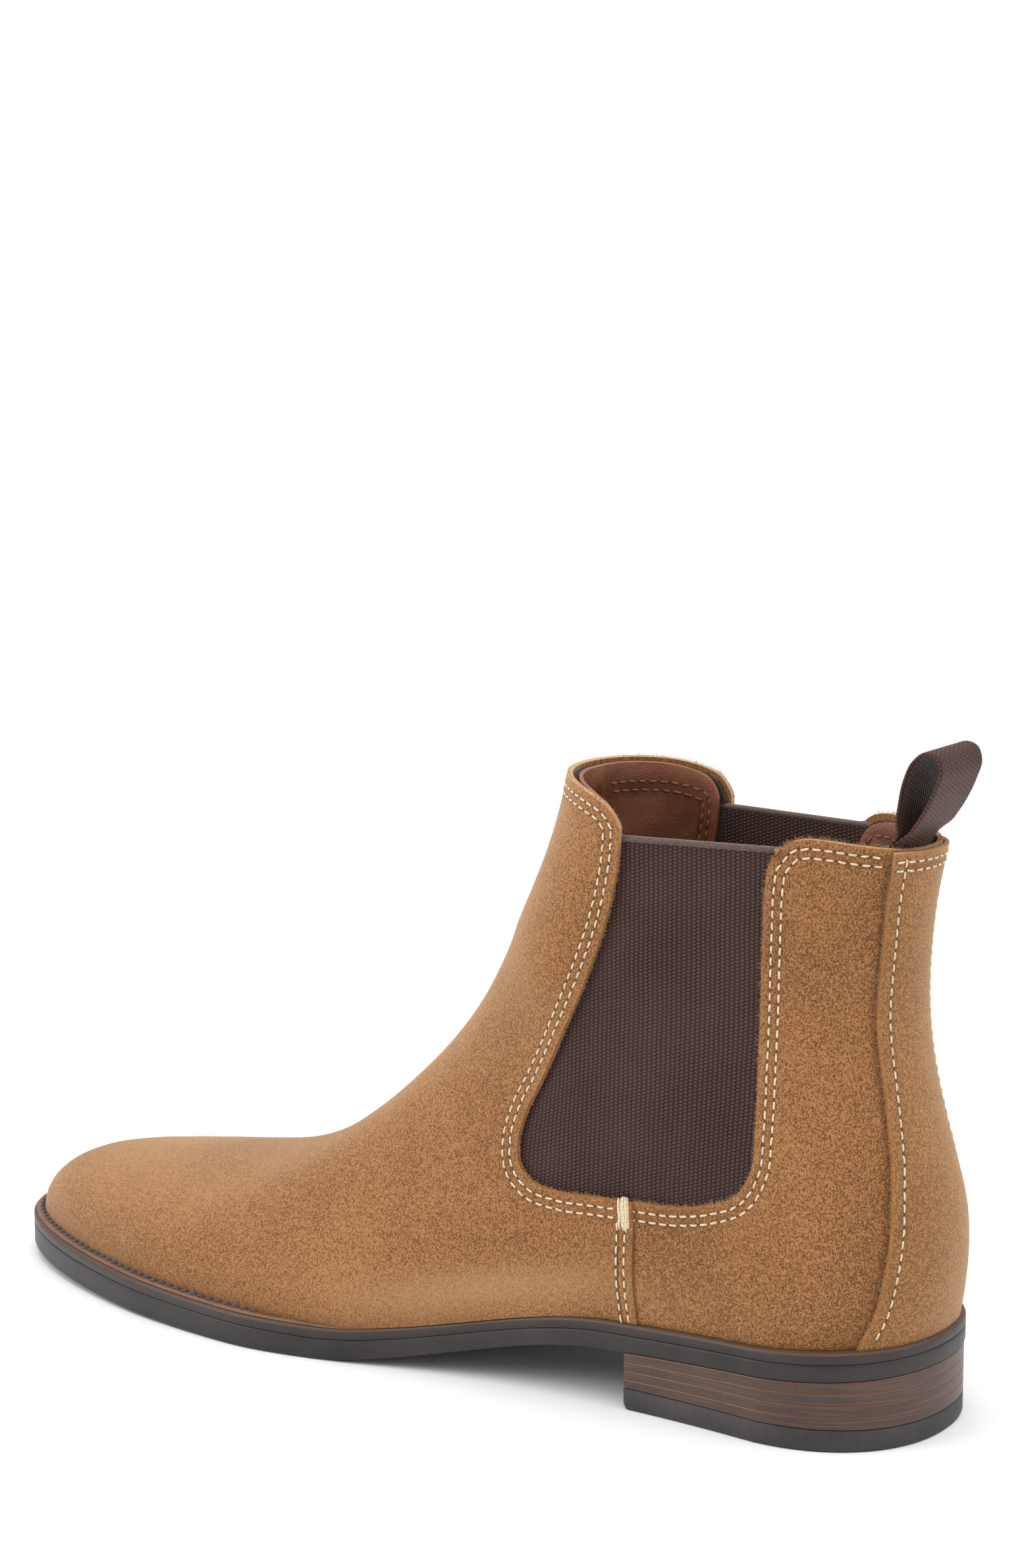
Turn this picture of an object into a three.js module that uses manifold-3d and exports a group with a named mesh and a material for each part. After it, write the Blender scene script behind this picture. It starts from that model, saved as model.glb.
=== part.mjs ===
// Left chelsea boot in suede, cemented leather-look construction with a stacked heel.
// Millimetres, +Y to the toe, +Z up, -X the outer (lateral) side of the foot.
// The origin lies on the ground under the middle of the heel.
import * as THREE from 'three';
import { mergeVertices } from 'three/addons/utils/BufferGeometryUtils.js';
import Module from 'manifold-3d';

const wasm = await Module();
wasm.setup();

// ---- driving sizes ----
const SOLE_LENGTH = 305.5;      // heel back to toe tip along the ground
const BALL_WIDTH = 98.7;        // sole width at the ball of the foot
const UPPER_HEIGHT = 152;       // quarter top above the ground
const HEEL_HEIGHT = 15.4;       // heel block and top lift at the breast
const HEEL_LENGTH = 78;         // back of the heel to its breast
const HEEL_PITCH = 0.05;        // rise of the heel seat towards the back
const TOE_SPRING = 3;           // lift of the toe tip off the ground
const SUEDE = 1.5;              // upper leather
const ELASTIC = 1.2;            // gore, stiffeners and interlining
const LINING = 1.1;             // lining leather
const STRIP = 1.3;              // back strip leather
const GORE_UNDERLAP = 8;        // elastic tucked under the suede edge
const LINING_SETBACK = 3;       // lining edge behind the suede edge
const STRIP_TOP_WIDTH = 26.4;   // back strip at the collar
const STRIP_BASE_WIDTH = 50;    // back strip at the heel seat
const WELT = 2.8;               // upper sole layer
const WELT_SHELF = 3.5;         // welt standing out past the upper at the toe
const TOP_LIFT = 6;             // rubber heel tip
const LIFTS = 4;                // leather layers in the heel
const NAIL = 1.8;               // heel nail diameter
const NAIL_CLEARANCE = 0.35;    // around a nail in the lifts
const INSOLE = 1.7;             // insole board
const SOCK = 1.2;               // sock liner
const SHANK_WIDTH = 16;         // waist shank
const TAB_WIDTH = 24.5;         // pull tab webbing
const TAB_HEIGHT = 24;          // pull tab above the collar
const WEBBING = 1.3;            // webbing thickness
const TAIL_DEPTH = 13;          // sewn-in end of the tab
const GAP = 0.3;                // between pieces that touch

// ---- curves ----
const clamp = (x, lo = 0, hi = 1) => Math.min(hi, Math.max(lo, x));
const smooth = (x) => clamp(x) ** 2 * (3 - 2 * clamp(x));
const mix = (a, b, t) => a + (b - a) * t;

// Cubic through stations [x, value], tangents from each station's neighbours.
function curve(stations) {
  const n = stations.length;
  const h = [];
  const d = [];
  for (let i = 0; i < n - 1; i += 1) {
    h.push(stations[i + 1][0] - stations[i][0]);
    d.push((stations[i + 1][1] - stations[i][1]) / h[i]);
  }
  const m = [];
  for (let i = 1; i < n - 1; i += 1) {
    m[i] = (h[i] * d[i - 1] + h[i - 1] * d[i]) / (h[i] + h[i - 1]);
  }
  m[0] = 2 * d[0] - m[1];
  m[n - 1] = 2 * d[n - 2] - m[n - 2];
  return (x0) => {
    const x = clamp(x0, stations[0][0], stations[n - 1][0]);
    let i = 0;
    while (i < n - 2 && x > stations[i + 1][0]) i += 1;
    const t = (x - stations[i][0]) / h[i];
    const a = (2 * t ** 3 - 3 * t ** 2 + 1) * stations[i][1];
    const b = (t ** 3 - 2 * t ** 2 + t) * h[i] * m[i];
    const c = (-2 * t ** 3 + 3 * t ** 2) * stations[i + 1][1];
    return a + b + c + (t ** 3 - t ** 2) * h[i] * m[i + 1];
  };
}

// Rounded end: 0 at s = 0 with an upright start, 1 from s = 1 on.
const bulge = (s, n, m) => (1 - (1 - clamp(s)) ** n) ** (1 / m);

const KY = SOLE_LENGTH / 305.5;
const KX = BALL_WIDTH / 98.7;
const KZ = UPPER_HEIGHT / 152;
const along = (rows) => rows.map(([y, v]) => [y * KY, v]);
const place = (rows) => rows.map(([y, z]) => [y * KY, z * KZ]);

// ---- sole outline and side profile ----
const HEEL_ROUND = 38 * KY;
const TOE_ROUND = 80 * KY;
const outerHalf = curve(along([[38, 36.8], [79, 34.7], [110, 36.1], [141, 41.5], [165, 47.5],
  [189, 51.2], [211, 50], [229, 47.5], [251, 44], [275, 41], [305.5, 38]]));
const innerHalf = curve(along([[38, 33.8], [79, 31.7], [110, 27.7], [141, 27.8], [165, 33.4],
  [189, 42], [211, 46.3], [229, 48.5], [251, 47.5], [275, 42], [305.5, 34]]));
const sideHalf = (y, side) => KX * (side < 0 ? outerHalf(y) : innerHalf(y));

// Half width of a sole outline, drawn in by the same inset all round.
function soleHalf(y, side, inset = 0, toeInset = inset) {
  const heel = bulge((y - inset) / HEEL_ROUND, 2.2, 2.2);
  const toe = bulge((SOLE_LENGTH - toeInset - y) / TOE_ROUND, 2, 2);
  return Math.max(0.05, sideHalf(y, side) - inset) * heel * toe;
}

const BALL_START = 172 * KY;
const TOE_START = 189 * KY;

// Ground side of the outsole; over the heel it is the seat of the heel block.
function soleBottom(y) {
  const t = clamp((y - HEEL_LENGTH) / (BALL_START - HEEL_LENGTH));
  const seat = HEEL_HEIGHT + (HEEL_LENGTH - y) * HEEL_PITCH;
  const waist = HEEL_HEIGHT * (1 - t) ** 2 * (1 + 2 * t);
  const toe = TOE_SPRING * clamp((y - TOE_START) / (SOLE_LENGTH - TOE_START)) ** 1.7;
  return (y < HEEL_LENGTH ? seat : waist) + toe;
}

const outsoleThickness = curve(along([[0, 4.5], [79, 4.7], [122, 4.9], [183, 6.1], [290, 6.8],
  [305.5, 6.7]]));
const weltBottom = (y) => soleBottom(y) + outsoleThickness(y) + GAP;
const feather = (y) => weltBottom(y) + WELT;

// ---- upper surface ----
// Front line of the upper in side view, collar to toe.
const ridgePoints = place([[110.3, 166], [113, 154], [116.8, 143], [121.7, 132], [127.2, 121],
  [133.2, 109.5], [140.4, 97], [148.6, 86], [158.6, 75.2], [170.5, 64.2], [183.5, 54.8],
  [196.5, 48.2], [211, 43.2], [227, 40], [243, 37.8], [257.5, 36], [271.5, 34], [283.5, 31],
  [292.5, 26.5], [298.3, 20.8], [301.4, 15.2]]);
const ridgeArc = [0];
for (let i = 1; i < ridgePoints.length; i += 1) {
  const [a, b] = [ridgePoints[i - 1], ridgePoints[i]];
  ridgeArc.push(ridgeArc[i - 1] + Math.hypot(b[0] - a[0], b[1] - a[1]));
}
const ridgeLength = ridgeArc[ridgeArc.length - 1];
const ridgeY = curve(ridgePoints.map((p, i) => [ridgeArc[i] / ridgeLength, p[0]]));
const ridgeZ = curve(ridgePoints.map((p, i) => [ridgeArc[i] / ridgeLength, p[1]]));

// Back line of the upper under the back strip.
const BACK_STATIONS = [[22, 3.4], [28, 2.6], [35, 1.6], [45, 0.8], [56, 1.3], [68, 4.1], [80, 7.4],
  [94, 10.5], [108, 12], [122, 11.9], [136, 10.5], [152, 7.4], [168, 4.8]];
const backLine = curve(BACK_STATIONS.map(([z, y]) => [z * KZ, y * KY]));

// Sections run from the ridge to the base, fanned round the instep. The base is the
// welt edge from the toe to the heel, then the back line up to the collar.
const T_HEEL = 0.7;
const SKIRT = 1.5;              // drawn below the welt edge, then trimmed at it
const ridgeAt = curve([[0, 1], [0.35, 0.418], [0.56, 0.268], [T_HEEL, 0.199], [0.86, 0.12],
  [1, 0]].map(([t, s]) => [t, s * (ridgeLength / ridgeLength)]));
const heelBack = backLine(24 * KZ);
const weltEdgeAt = curve([[0, 301.7 * KY], [0.35, 190 * KY], [0.56, 89 * KY], [T_HEEL, heelBack]]);
const backAt = curve([[T_HEEL, feather(heelBack) - SKIRT], [0.86, 122 * KZ], [1, 166 * KZ]]);

const weltShelf = curve(along([[0, 2], [40, 2], [85, 1.5], [110, 0.2], [150, 0.8], [185, 3.2],
  [230, 3.5], [305.5, 3.5]]));
const shaftHalf = curve(along([[0, 20.5], [20, 22], [40, 24.5], [60, 27.5], [82, 30.5], [110, 31],
  [150, 31]]));

// Point of the upper at section t, at v from 0 on the ridge to 1 at the base.
function upperPoint(t, v, side) {
  const s = ridgeAt(t);
  const front = [ridgeY(s), ridgeZ(s)];
  const baseY = t <= T_HEEL ? weltEdgeAt(t) : backLine(backAt(t));
  const baseZ = t <= T_HEEL ? feather(baseY) - SKIRT : backAt(t);
  const q = (1 - Math.cos(Math.PI * v)) / 2;
  const y = mix(front[0], baseY, q);
  const z = mix(front[1], baseZ, q);
  const length = Math.hypot(front[0] - baseY, front[1] - baseZ);
  const turn = smooth((t - 0.3) / 0.5);
  const low = feather(y);
  const shelf = weltShelf(y) * (WELT_SHELF / 3.5);
  const fill = (side < 0 ? 1.5 : 4.5) * Math.exp(-(((y / KY - 118) / 38) ** 2));
  const foot = (sideHalf(y, side) - shelf + fill * smooth((z - low) / 22))
    * bulge((SOLE_LENGTH - WELT_SHELF - y) / (TOE_ROUND - 2), 2, 2);
  const rise = smooth((z - low - 4) / (85 * KZ));
  const width = mix(foot, KX * shaftHalf(y), rise);
  const reach = mix(length, Math.min(length, 30 * KY), turn);
  const frontRound = bulge((q * length) / reach, 2 + 0.25 * (1 - turn), 2);
  const backRound = bulge((y - backLine(z)) / (KY * (38 - 10 * rise)), 2.2, 2.2);
  return new THREE.Vector3(side * width * frontRound * backRound, y, z);
}

// Rows are closer at the toe tip and where the heel turns round to the back line.
const spread = (from, to, count, ease) =>
  Array.from({ length: count }, (_, i) => mix(from, to, ease(i / count)));
const rowTs = [
  ...spread(0, 0.35, 10, (u) => u ** 1.6),
  ...spread(0.35, 0.56, 4, (u) => u),
  ...spread(0.56, T_HEEL, 8, (u) => 1 - (1 - u) ** 1.8),
  ...spread(T_HEEL, 1, 7, (u) => u),
  1,
];
const ROWS = rowTs.length - 1;
const HEEL_ROW = rowTs.indexOf(T_HEEL);
const COLUMNS = 9;              // each side
const RING = 2 * COLUMNS;

// Master grid: one row per section, outer side welt to ridge to inner side welt.
// From the heel row up, the first and last column are one vertex on the back line.
const gridIndex = [];
const gridPoints = [];
for (let i = 0; i <= ROWS; i += 1) {
  const row = [];
  for (let j = 0; j <= RING; j += 1) {
    const v = Math.abs(j - COLUMNS) / COLUMNS;
    const welded = i >= HEEL_ROW && j === RING;
    row.push(welded ? row[0] : gridPoints.length);
    if (!welded) {
      const p = upperPoint(rowTs[i], v, j < COLUMNS ? -1 : 1);
      if (j === COLUMNS || (i >= HEEL_ROW && j === 0)) p.x = 0;
      gridPoints.push(p);
    }
  }
  gridIndex.push(row);
}

const gridFaces = [];
for (let i = 0; i < ROWS; i += 1) {
  for (let j = 0; j < RING; j += 1) {
    const [a, b] = [gridIndex[i][j], gridIndex[i][j + 1]];
    const [c, d] = [gridIndex[i + 1][j + 1], gridIndex[i + 1][j]];
    if (a !== b) gridFaces.push([a, c, b]);
    if (c !== d) gridFaces.push([a, d, c]);
  }
}

function indexed(points, faces) {
  const geometry = new THREE.BufferGeometry();
  geometry.setAttribute('position', new THREE.Float32BufferAttribute(
    points.flatMap((p) => [p.x, p.y, p.z]), 3));
  geometry.setIndex(faces.flat());
  return geometry;
}

const gridNormals = (() => {
  const geometry = indexed(gridPoints, gridFaces);
  geometry.computeVertexNormals();
  const n = geometry.attributes.normal;
  return gridPoints.map((p, k) => new THREE.Vector3(n.getX(k), n.getY(k), n.getZ(k)));
})();

// Edges used by one face only, in that face's direction.
const gridRim = (() => {
  const edges = new Map();
  for (const [a, b, c] of gridFaces) {
    for (const [p, q] of [[a, b], [b, c], [c, a]]) edges.set(`${p},${q}`, [p, q]);
  }
  return [...edges.values()].filter(([p, q]) => !edges.has(`${q},${p}`));
})();

// Closed layer of the upper between two depths below the outer face.
function layer(outer, inner) {
  const count = gridPoints.length;
  const at = (depth) => gridPoints.map((p, k) => p.clone().addScaledVector(gridNormals[k], -depth));
  const faces = [];
  for (const [a, b, c] of gridFaces) {
    faces.push([a, b, c]);
    faces.push([a + count, c + count, b + count]);
  }
  for (const [p, q] of gridRim) {
    faces.push([q, p, p + count]);
    faces.push([q, p + count, q + count]);
  }
  return indexed([...at(outer), ...at(inner)], faces);
}

// ---- solids ----
function solid(geometry) {
  const bare = geometry.clone();
  for (const name of Object.keys(bare.attributes)) {
    if (name !== 'position') bare.deleteAttribute(name);
  }
  const merged = mergeVertices(bare, 1e-5);
  return new wasm.Manifold(new wasm.Mesh({
    numProp: 3,
    vertProperties: Float32Array.from(merged.attributes.position.array),
    triVerts: Uint32Array.from(merged.index.array),
  }));
}

function geometryOf(manifold) {
  const mesh = manifold.getMesh();
  const geometry = new THREE.BufferGeometry();
  geometry.setAttribute('position', new THREE.BufferAttribute(mesh.vertProperties, 3));
  geometry.setIndex(new THREE.BufferAttribute(mesh.triVerts, 1));
  return geometry;
}

const shapeOf = (points) => new THREE.Shape(points.map(([u, v]) => new THREE.Vector2(u, v)));

// Prism of a side-view outline (y, z) between two x values.
function sidePrism(points, from = -200, to = 200) {
  const geometry = new THREE.ExtrudeGeometry(shapeOf(points),
    { depth: to - from, bevelEnabled: false });
  geometry.applyMatrix4(new THREE.Matrix4().set(0, 0, 1, from, 1, 0, 0, 0, 0, 1, 0, 0, 0, 0, 0, 1));
  return solid(geometry);
}

// Prism of a back-view outline (x, z) between two y values.
function backPrism(points, from, to) {
  const geometry = new THREE.ExtrudeGeometry(shapeOf(points),
    { depth: to - from, bevelEnabled: false });
  geometry.applyMatrix4(new THREE.Matrix4().set(1, 0, 0, 0, 0, 0, -1, to, 0, 1, 0, 0, 0, 0, 0, 1));
  return solid(geometry);
}

const box = (y0, z0, y1, z1, x0 = -200, x1 = 200) =>
  sidePrism([[y0, z0], [y1, z0], [y1, z1], [y0, z1]], x0, x1);

// Points of a curve through the given points, closely spaced.
function dense(points, count) {
  const spline = new THREE.CatmullRomCurve3(points.map(([u, v]) => new THREE.Vector3(u, v, 0)),
    false, 'centripetal');
  return spline.getSpacedPoints(count).map((p) => [p.x, p.y]);
}

// Outline moved outwards along its normals; it runs with the inside on its left.
function grown(points, distance) {
  return points.map((p, i) => {
    const a = points[Math.max(0, i - 1)];
    const b = points[Math.min(points.length - 1, i + 1)];
    const length = Math.hypot(b[0] - a[0], b[1] - a[1]);
    return [p[0] + ((b[1] - a[1]) / length) * distance, p[1] - ((b[0] - a[0]) / length) * distance];
  });
}

// Solid between two heights over a plan outline, built from stations along the foot.
function sole(y0, y1, half, bottom, top, count = 34) {
  const points = [];
  const faces = [];
  for (let i = 0; i <= count; i += 1) {
    const y = mix(y0, y1, (1 - Math.cos((Math.PI * i) / count)) / 2);
    const yIn = clamp(y, y0 + 0.05, y1 - 0.05);
    for (const [side, z] of [[-1, bottom(y)], [1, bottom(y)], [1, top(y)], [-1, top(y)]]) {
      points.push(new THREE.Vector3(side * Math.max(half(yIn, side), 0.4), y, z));
    }
  }
  for (let i = 0; i < count; i += 1) {
    for (let k = 0; k < 4; k += 1) {
      const [a, b] = [4 * i + k, 4 * i + ((k + 1) % 4)];
      faces.push([a, b + 4, b]);
      faces.push([a, a + 4, b + 4]);
    }
  }
  const end = 4 * count;
  faces.push([0, 1, 2], [0, 2, 3], [end, end + 2, end + 1], [end, end + 3, end + 2]);
  return indexed(points, faces);
}

// Everything lower than the seat of the upper on the welt.
const belowSeat = solid(sole(-60, SOLE_LENGTH + 60, () => 150, () => -60,
  (y) => feather(clamp(y, 0, SOLE_LENGTH)) + GAP, 90));

// ---- outlines in side view ----
const GORE_TOP = 150.6 * KZ;
const SKY = 240 * KZ;
// Gore opening from the top of its rear edge, down, round and up its front edge.
const goreEdge = dense(place([[39.6, 160], [41, 147], [42.6, 131], [43.1, 117], [43.1, 97],
  [42.5, 78], [42.6, 69.5], [46.2, 62.4], [54, 58.6], [64, 56.4], [76, 55.9], [88, 55.6],
  [98, 55.6], [105.5, 57.2], [109.8, 61.2], [111, 67.5], [109.3, 75.2], [105.5, 83], [99.4, 95.6],
  [94.5, 105.7], [90.2, 115.8], [86.4, 126], [83.8, 135.4], [82, 145], [80.6, 160]]), 34);

function opening(distance) {
  const edge = grown(goreEdge, distance);
  const last = edge[edge.length - 1];
  return [...edge, [last[0], SKY], [edge[0][0], SKY]];
}

// Collar line of the suede, and everything above it.
const rearCollar = place([[41, 150], [37.5, 153], [32, 154.2], [26.9, 154], [20.1, 153.1],
  [14, 152.2], [10.3, 151.6]]);
const frontCollar = place([[82, 154.5], [83.2, 156.4], [85.6, 158.8], [90.6, 160.8], [96, 162.3],
  [103, 163.6], [112, 164.4]]);
function aboveCollar(drop) {
  const lower = (rows) => rows.map(([y, z]) => [y, z - drop]);
  const rear = lower(dense(rearCollar, 10));
  const front = lower(dense(frontCollar, 10));
  return [[-40, rear[10][1]], ...rear.reverse(), ...front, [160 * KY, front[10][1]],
    [160 * KY, SKY], [-40, SKY]];
}

// Seam between vamp and quarters, bottom to top.
const seam = place([[73, -20], [73.7, 23.7], [74.7, 29], [75.3, 35], [75.4, 42], [75.3, 49],
  [75.8, 57], [76, 70]]);
const shifted = (rows, dy) => rows.map(([y, z]) => [y + dy, z]);
const aheadOf = (rows, dy) => [...shifted(rows, dy), [76 * KY, SKY], [400 * KY, SKY], [400 * KY, -20]];
const behind = (rows, dy) => [[-60, -20], ...shifted(rows, dy), [76 * KY, SKY], [-60, SKY]];

// ---- upper pieces ----
const MIDDLE = SUEDE + GAP;
const DEEP = MIDDLE + ELASTIC + GAP;
const INSIDE = DEEP + LINING;
const skin = (outer, inner) => solid(layer(outer, inner)).subtract(belowSeat);
const suedeLayer = skin(0, SUEDE)
  .subtract(sidePrism(opening(0)))
  .subtract(sidePrism(aboveCollar(0)));
const middleLayer = skin(MIDDLE, MIDDLE + ELASTIC);
const liningLayer = skin(DEEP, INSIDE)
  .subtract(sidePrism(opening(LINING_SETBACK)))
  .subtract(sidePrism(aboveCollar(0.4)));

const vamp = suedeLayer.intersect(sidePrism(aheadOf(seam, GAP / 2)));
const quarters = suedeLayer.intersect(sidePrism(behind(seam, -GAP / 2)));
const quarterOuter = quarters.intersect(box(-60, -20, 200 * KY, SKY, -200, -GAP / 2));
const quarterInner = quarters.intersect(box(-60, -20, 200 * KY, SKY, GAP / 2, 200));

// The back strip lies over the closing seam of the quarters.
const stripHalf = [[-20, 0.5], [24, 0.5], [34, 0.48], [45, 0.452], [59, 0.4], [74, 0.31], [89, 0.275],
  [108, 0.262], [128, 0.25], [150, 0.264], [240, 0.264]].map(([z, f]) => {
  const share = clamp((f - 0.264) / (0.5 - 0.264), -1, 1);
  return [mix(STRIP_TOP_WIDTH, STRIP_BASE_WIDTH, share) / 2, z * KZ];
});
const stripSide = dense(stripHalf, 36);
const stripOutline = [...stripSide, ...stripSide.map(([x, z]) => [-x, z]).reverse()];
const backStrip = skin(-GAP - STRIP, -GAP)
  .intersect(backPrism(stripOutline, -60, 45 * KY))
  .subtract(sidePrism(aboveCollar(0.2)));

const goreBody = middleLayer
  .intersect(sidePrism(opening(GORE_UNDERLAP)))
  .intersect(box(-60, -20, 400 * KY, GORE_TOP));
const goreOuter = goreBody.intersect(box(-60, -20, 400 * KY, SKY, -200, -2));
const goreInner = goreBody.intersect(box(-60, -20, 400 * KY, SKY, 2, 200));

const toePuff = middleLayer.intersect(box(243 * KY, -20, 400 * KY, SKY));
const heelCounter = middleLayer.intersect(sidePrism(place([[-40, -20], [70, -20], [66, 36], [44, 42],
  [27, 56], [6, 64], [-40, 64]])));
const stiffened = middleLayer
  .subtract(sidePrism(opening(GORE_UNDERLAP + 0.6)))
  .subtract(sidePrism(aboveCollar(0.6)));
const frontInterlining = stiffened.intersect(box(84 * KY, 128 * KZ, 200 * KY, SKY));
const tailHalf = TAB_WIDTH / 2;
const tailTop = 151 * KZ;
const tail = middleLayer
  .intersect(box(-60, tailTop - TAIL_DEPTH, 40 * KY, tailTop, -tailHalf, tailHalf));
const backBand = stiffened.intersect(box(-60, 112 * KZ, 60 * KY, SKY));
const backInterlining = backBand.subtract(
  box(-60, tailTop - TAIL_DEPTH - GAP, 40 * KY, SKY, -tailHalf - GAP, tailHalf + GAP));

const liningSplit = place([[68, -20], [68, 90]]);
const vampLining = liningLayer.intersect(sidePrism(aheadOf(liningSplit, GAP / 2)));
const quarterLining = liningLayer.intersect(sidePrism(behind(liningSplit, -GAP / 2)));

// ---- sole pieces ----
const outsole = sole(0, SOLE_LENGTH, (y, side) => soleHalf(y, side), soleBottom,
  (y) => soleBottom(y) + outsoleThickness(y), 36);
const welt = sole(0, SOLE_LENGTH, (y, side) => soleHalf(y, side), weltBottom, feather, 36);

const liftOutline = (y, side) => soleHalf(y, side, 0.3);
const liftLine = (y, k) => mix(TOP_LIFT, soleBottom(Math.min(y, HEEL_LENGTH)), k / LIFTS);
const topLift = sole(0.3, HEEL_LENGTH, liftOutline,
  (y) => Math.max(0, 1.2 - (HEEL_LENGTH - y) * 0.8), () => TOP_LIFT - GAP / 2, 16);

const nailPlan = [[-0.62, 0.3], [0.62, 0.3], [-0.62, 0.66], [0.62, 0.66], [0, 0.16]];
const nailSpots = nailPlan.map(([across, back]) => {
  const y = back * HEEL_LENGTH;
  return [across * soleHalf(y, across < 0 ? -1 : 1), y];
});
function pillar(x, y, z0, z1, radius) {
  const geometry = new THREE.CylinderGeometry(radius, radius, z1 - z0, 8);
  geometry.rotateX(Math.PI / 2);
  geometry.translate(x, y, (z0 + z1) / 2);
  return geometry;
}
function liftSolid(k) {
  let body = solid(sole(0.3, HEEL_LENGTH, liftOutline, (y) => liftLine(y, k) + GAP / 2,
    (y) => liftLine(y, k + 1) - GAP / 2 - (k === LIFTS - 1 ? GAP / 2 : 0), 14));
  for (const [x, y] of nailSpots) {
    body = body.subtract(solid(pillar(x, y, -5, 60, NAIL / 2 + NAIL_CLEARANCE)));
  }
  return body;
}
const nail = ([x, y]) => pillar(x, y, TOP_LIFT + GAP, soleBottom(y) - GAP, NAIL / 2);

// Bottom filling and insole, inside the lasted edge of the upper.
const LAST_INSET = INSIDE + 1.9;
const innerOutline = (y, side) => {
  const wide = soleHalf(y, side, LAST_INSET, LAST_INSET + 8.2 * KY) - weltShelf(y) * 0.9;
  return Math.max(0.4, wide);
};
const fillTop = (y) => feather(y) + GAP + 1.6;
const insoleBottom = (y) => fillTop(y) + GAP;
const insoleTop = (y) => insoleBottom(y) + INSOLE;
const boardEnds = [LAST_INSET + 4.8 * KY, SOLE_LENGTH - LAST_INSET - 9.7 * KY];
const filler = sole(124 * KY, boardEnds[1] - 12, (y, side) => innerOutline(y, side) - 5,
  (y) => feather(y) + GAP, fillTop, 20);
const shank = sole(28 * KY, 118 * KY, () => SHANK_WIDTH / 2, (y) => feather(y) + GAP, fillTop, 16);
const insole = sole(boardEnds[0], boardEnds[1], innerOutline, insoleBottom, insoleTop, 22);
const sock = sole(boardEnds[0] + 0.6, boardEnds[1] - 0.8, (y, side) => innerOutline(y, side) - 0.6,
  (y) => insoleTop(y) + GAP, (y) => insoleTop(y) + GAP + SOCK, 22);

// ---- pull tab ----
const HINGE_Y = 11.3 * KY;
const HINGE_Z = 151.6 * KZ + GAP + WEBBING / 2 + 0.7;
const rise = TAB_HEIGHT / 24;
const tabLine = dense([[0.2, 0.6], [1.2, 4], [0.7, 10], [-0.6, 16], [-2.8, 20.6], [-6, 23],
  [-9, 22.2], [-10.2, 19], [-8.9, 14.5], [-6, 8.4], [-2.6, 3.2], [-0.6, 0.6]]
  .map(([dy, dz]) => [HINGE_Y + dy, HINGE_Z + dz * rise]), 34);
const tabOuter = grown(tabLine, WEBBING / 2);
const tabInner = grown(tabLine, -WEBBING / 2).filter((p) => p[1] > HINGE_Z + 4.6);
const tabShape = shapeOf(tabOuter);
tabShape.holes.push(new THREE.Path(tabInner.map(([u, v]) => new THREE.Vector2(u, v))));
const tabGeometry = new THREE.ExtrudeGeometry(tabShape, { depth: TAB_WIDTH, bevelEnabled: false });
tabGeometry.applyMatrix4(new THREE.Matrix4()
  .set(0, 0, 1, -TAB_WIDTH / 2, 1, 0, 0, 0, 0, 1, 0, 0, 0, 0, 0, 1));

// ---- materials ----
const material = (color, roughness, metalness = 0) =>
  new THREE.MeshStandardMaterial({ color, roughness, metalness });
const suedeMaterial = material(0xb98a58, 0.95);
const elasticMaterial = material(0x43342f, 0.9);
const liningMaterial = material(0x8a4f2c, 0.5);
const boardMaterial = material(0x6f5a45, 0.85);
const rubberMaterial = material(0x2f2725, 0.55);
const stackMaterial = material(0x49301f, 0.45);
const tipMaterial = material(0x26211f, 0.65);
const steelMaterial = material(0x9a9a98, 0.35, 1);
const webbingMaterial = material(0x4a3529, 0.85);

// ---- assembly ----
const boot = new THREE.Group();
const originY = HEEL_LENGTH / 2;
function add(name, geometry, look) {
  const mesh = new THREE.Mesh(geometry, look);
  mesh.name = name;
  mesh.position.y = -originY;
  boot.add(mesh);
}

add('vamp', geometryOf(vamp), suedeMaterial);
add('quarter_outer', geometryOf(quarterOuter), suedeMaterial);
add('quarter_inner', geometryOf(quarterInner), suedeMaterial);
add('back_strip', geometryOf(backStrip), suedeMaterial);
add('gore_outer', geometryOf(goreOuter), elasticMaterial);
add('gore_inner', geometryOf(goreInner), elasticMaterial);
add('toe_puff', geometryOf(toePuff), boardMaterial);
add('heel_counter', geometryOf(heelCounter), boardMaterial);
add('front_interlining', geometryOf(frontInterlining), boardMaterial);
add('back_interlining', geometryOf(backInterlining), boardMaterial);
add('vamp_lining', geometryOf(vampLining), liningMaterial);
add('quarter_lining', geometryOf(quarterLining), liningMaterial);
add('sock_liner', sock, liningMaterial);
add('insole_board', insole, boardMaterial);
add('bottom_filler', filler, boardMaterial);
add('shank', shank, steelMaterial);
add('welt', welt, rubberMaterial);
add('outsole', outsole, rubberMaterial);
for (let k = 0; k < LIFTS; k += 1) add(`heel_lift_${k + 1}`, geometryOf(liftSolid(k)), stackMaterial);
add('top_lift', topLift, tipMaterial);
nailSpots.forEach((spot, k) => add(`heel_nail_${k + 1}`, nail(spot), steelMaterial));
add('pull_tab_tail', geometryOf(tail), webbingMaterial);
add('pull_tab', tabGeometry, webbingMaterial);

export default boot;
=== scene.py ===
"""Looks of a left chelsea boot: suede upper, elastic gores, webbing pull tab, stacked heel.

Shapes are worked out in millimetres with +Y to the toe and y = 0 at the back of the heel,
then written to the meshes in metres about the middle of the heel, where the CAD has its origin.
"""

import bmesh
import bpy
import numpy as np
from mathutils import Matrix, Vector


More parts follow.
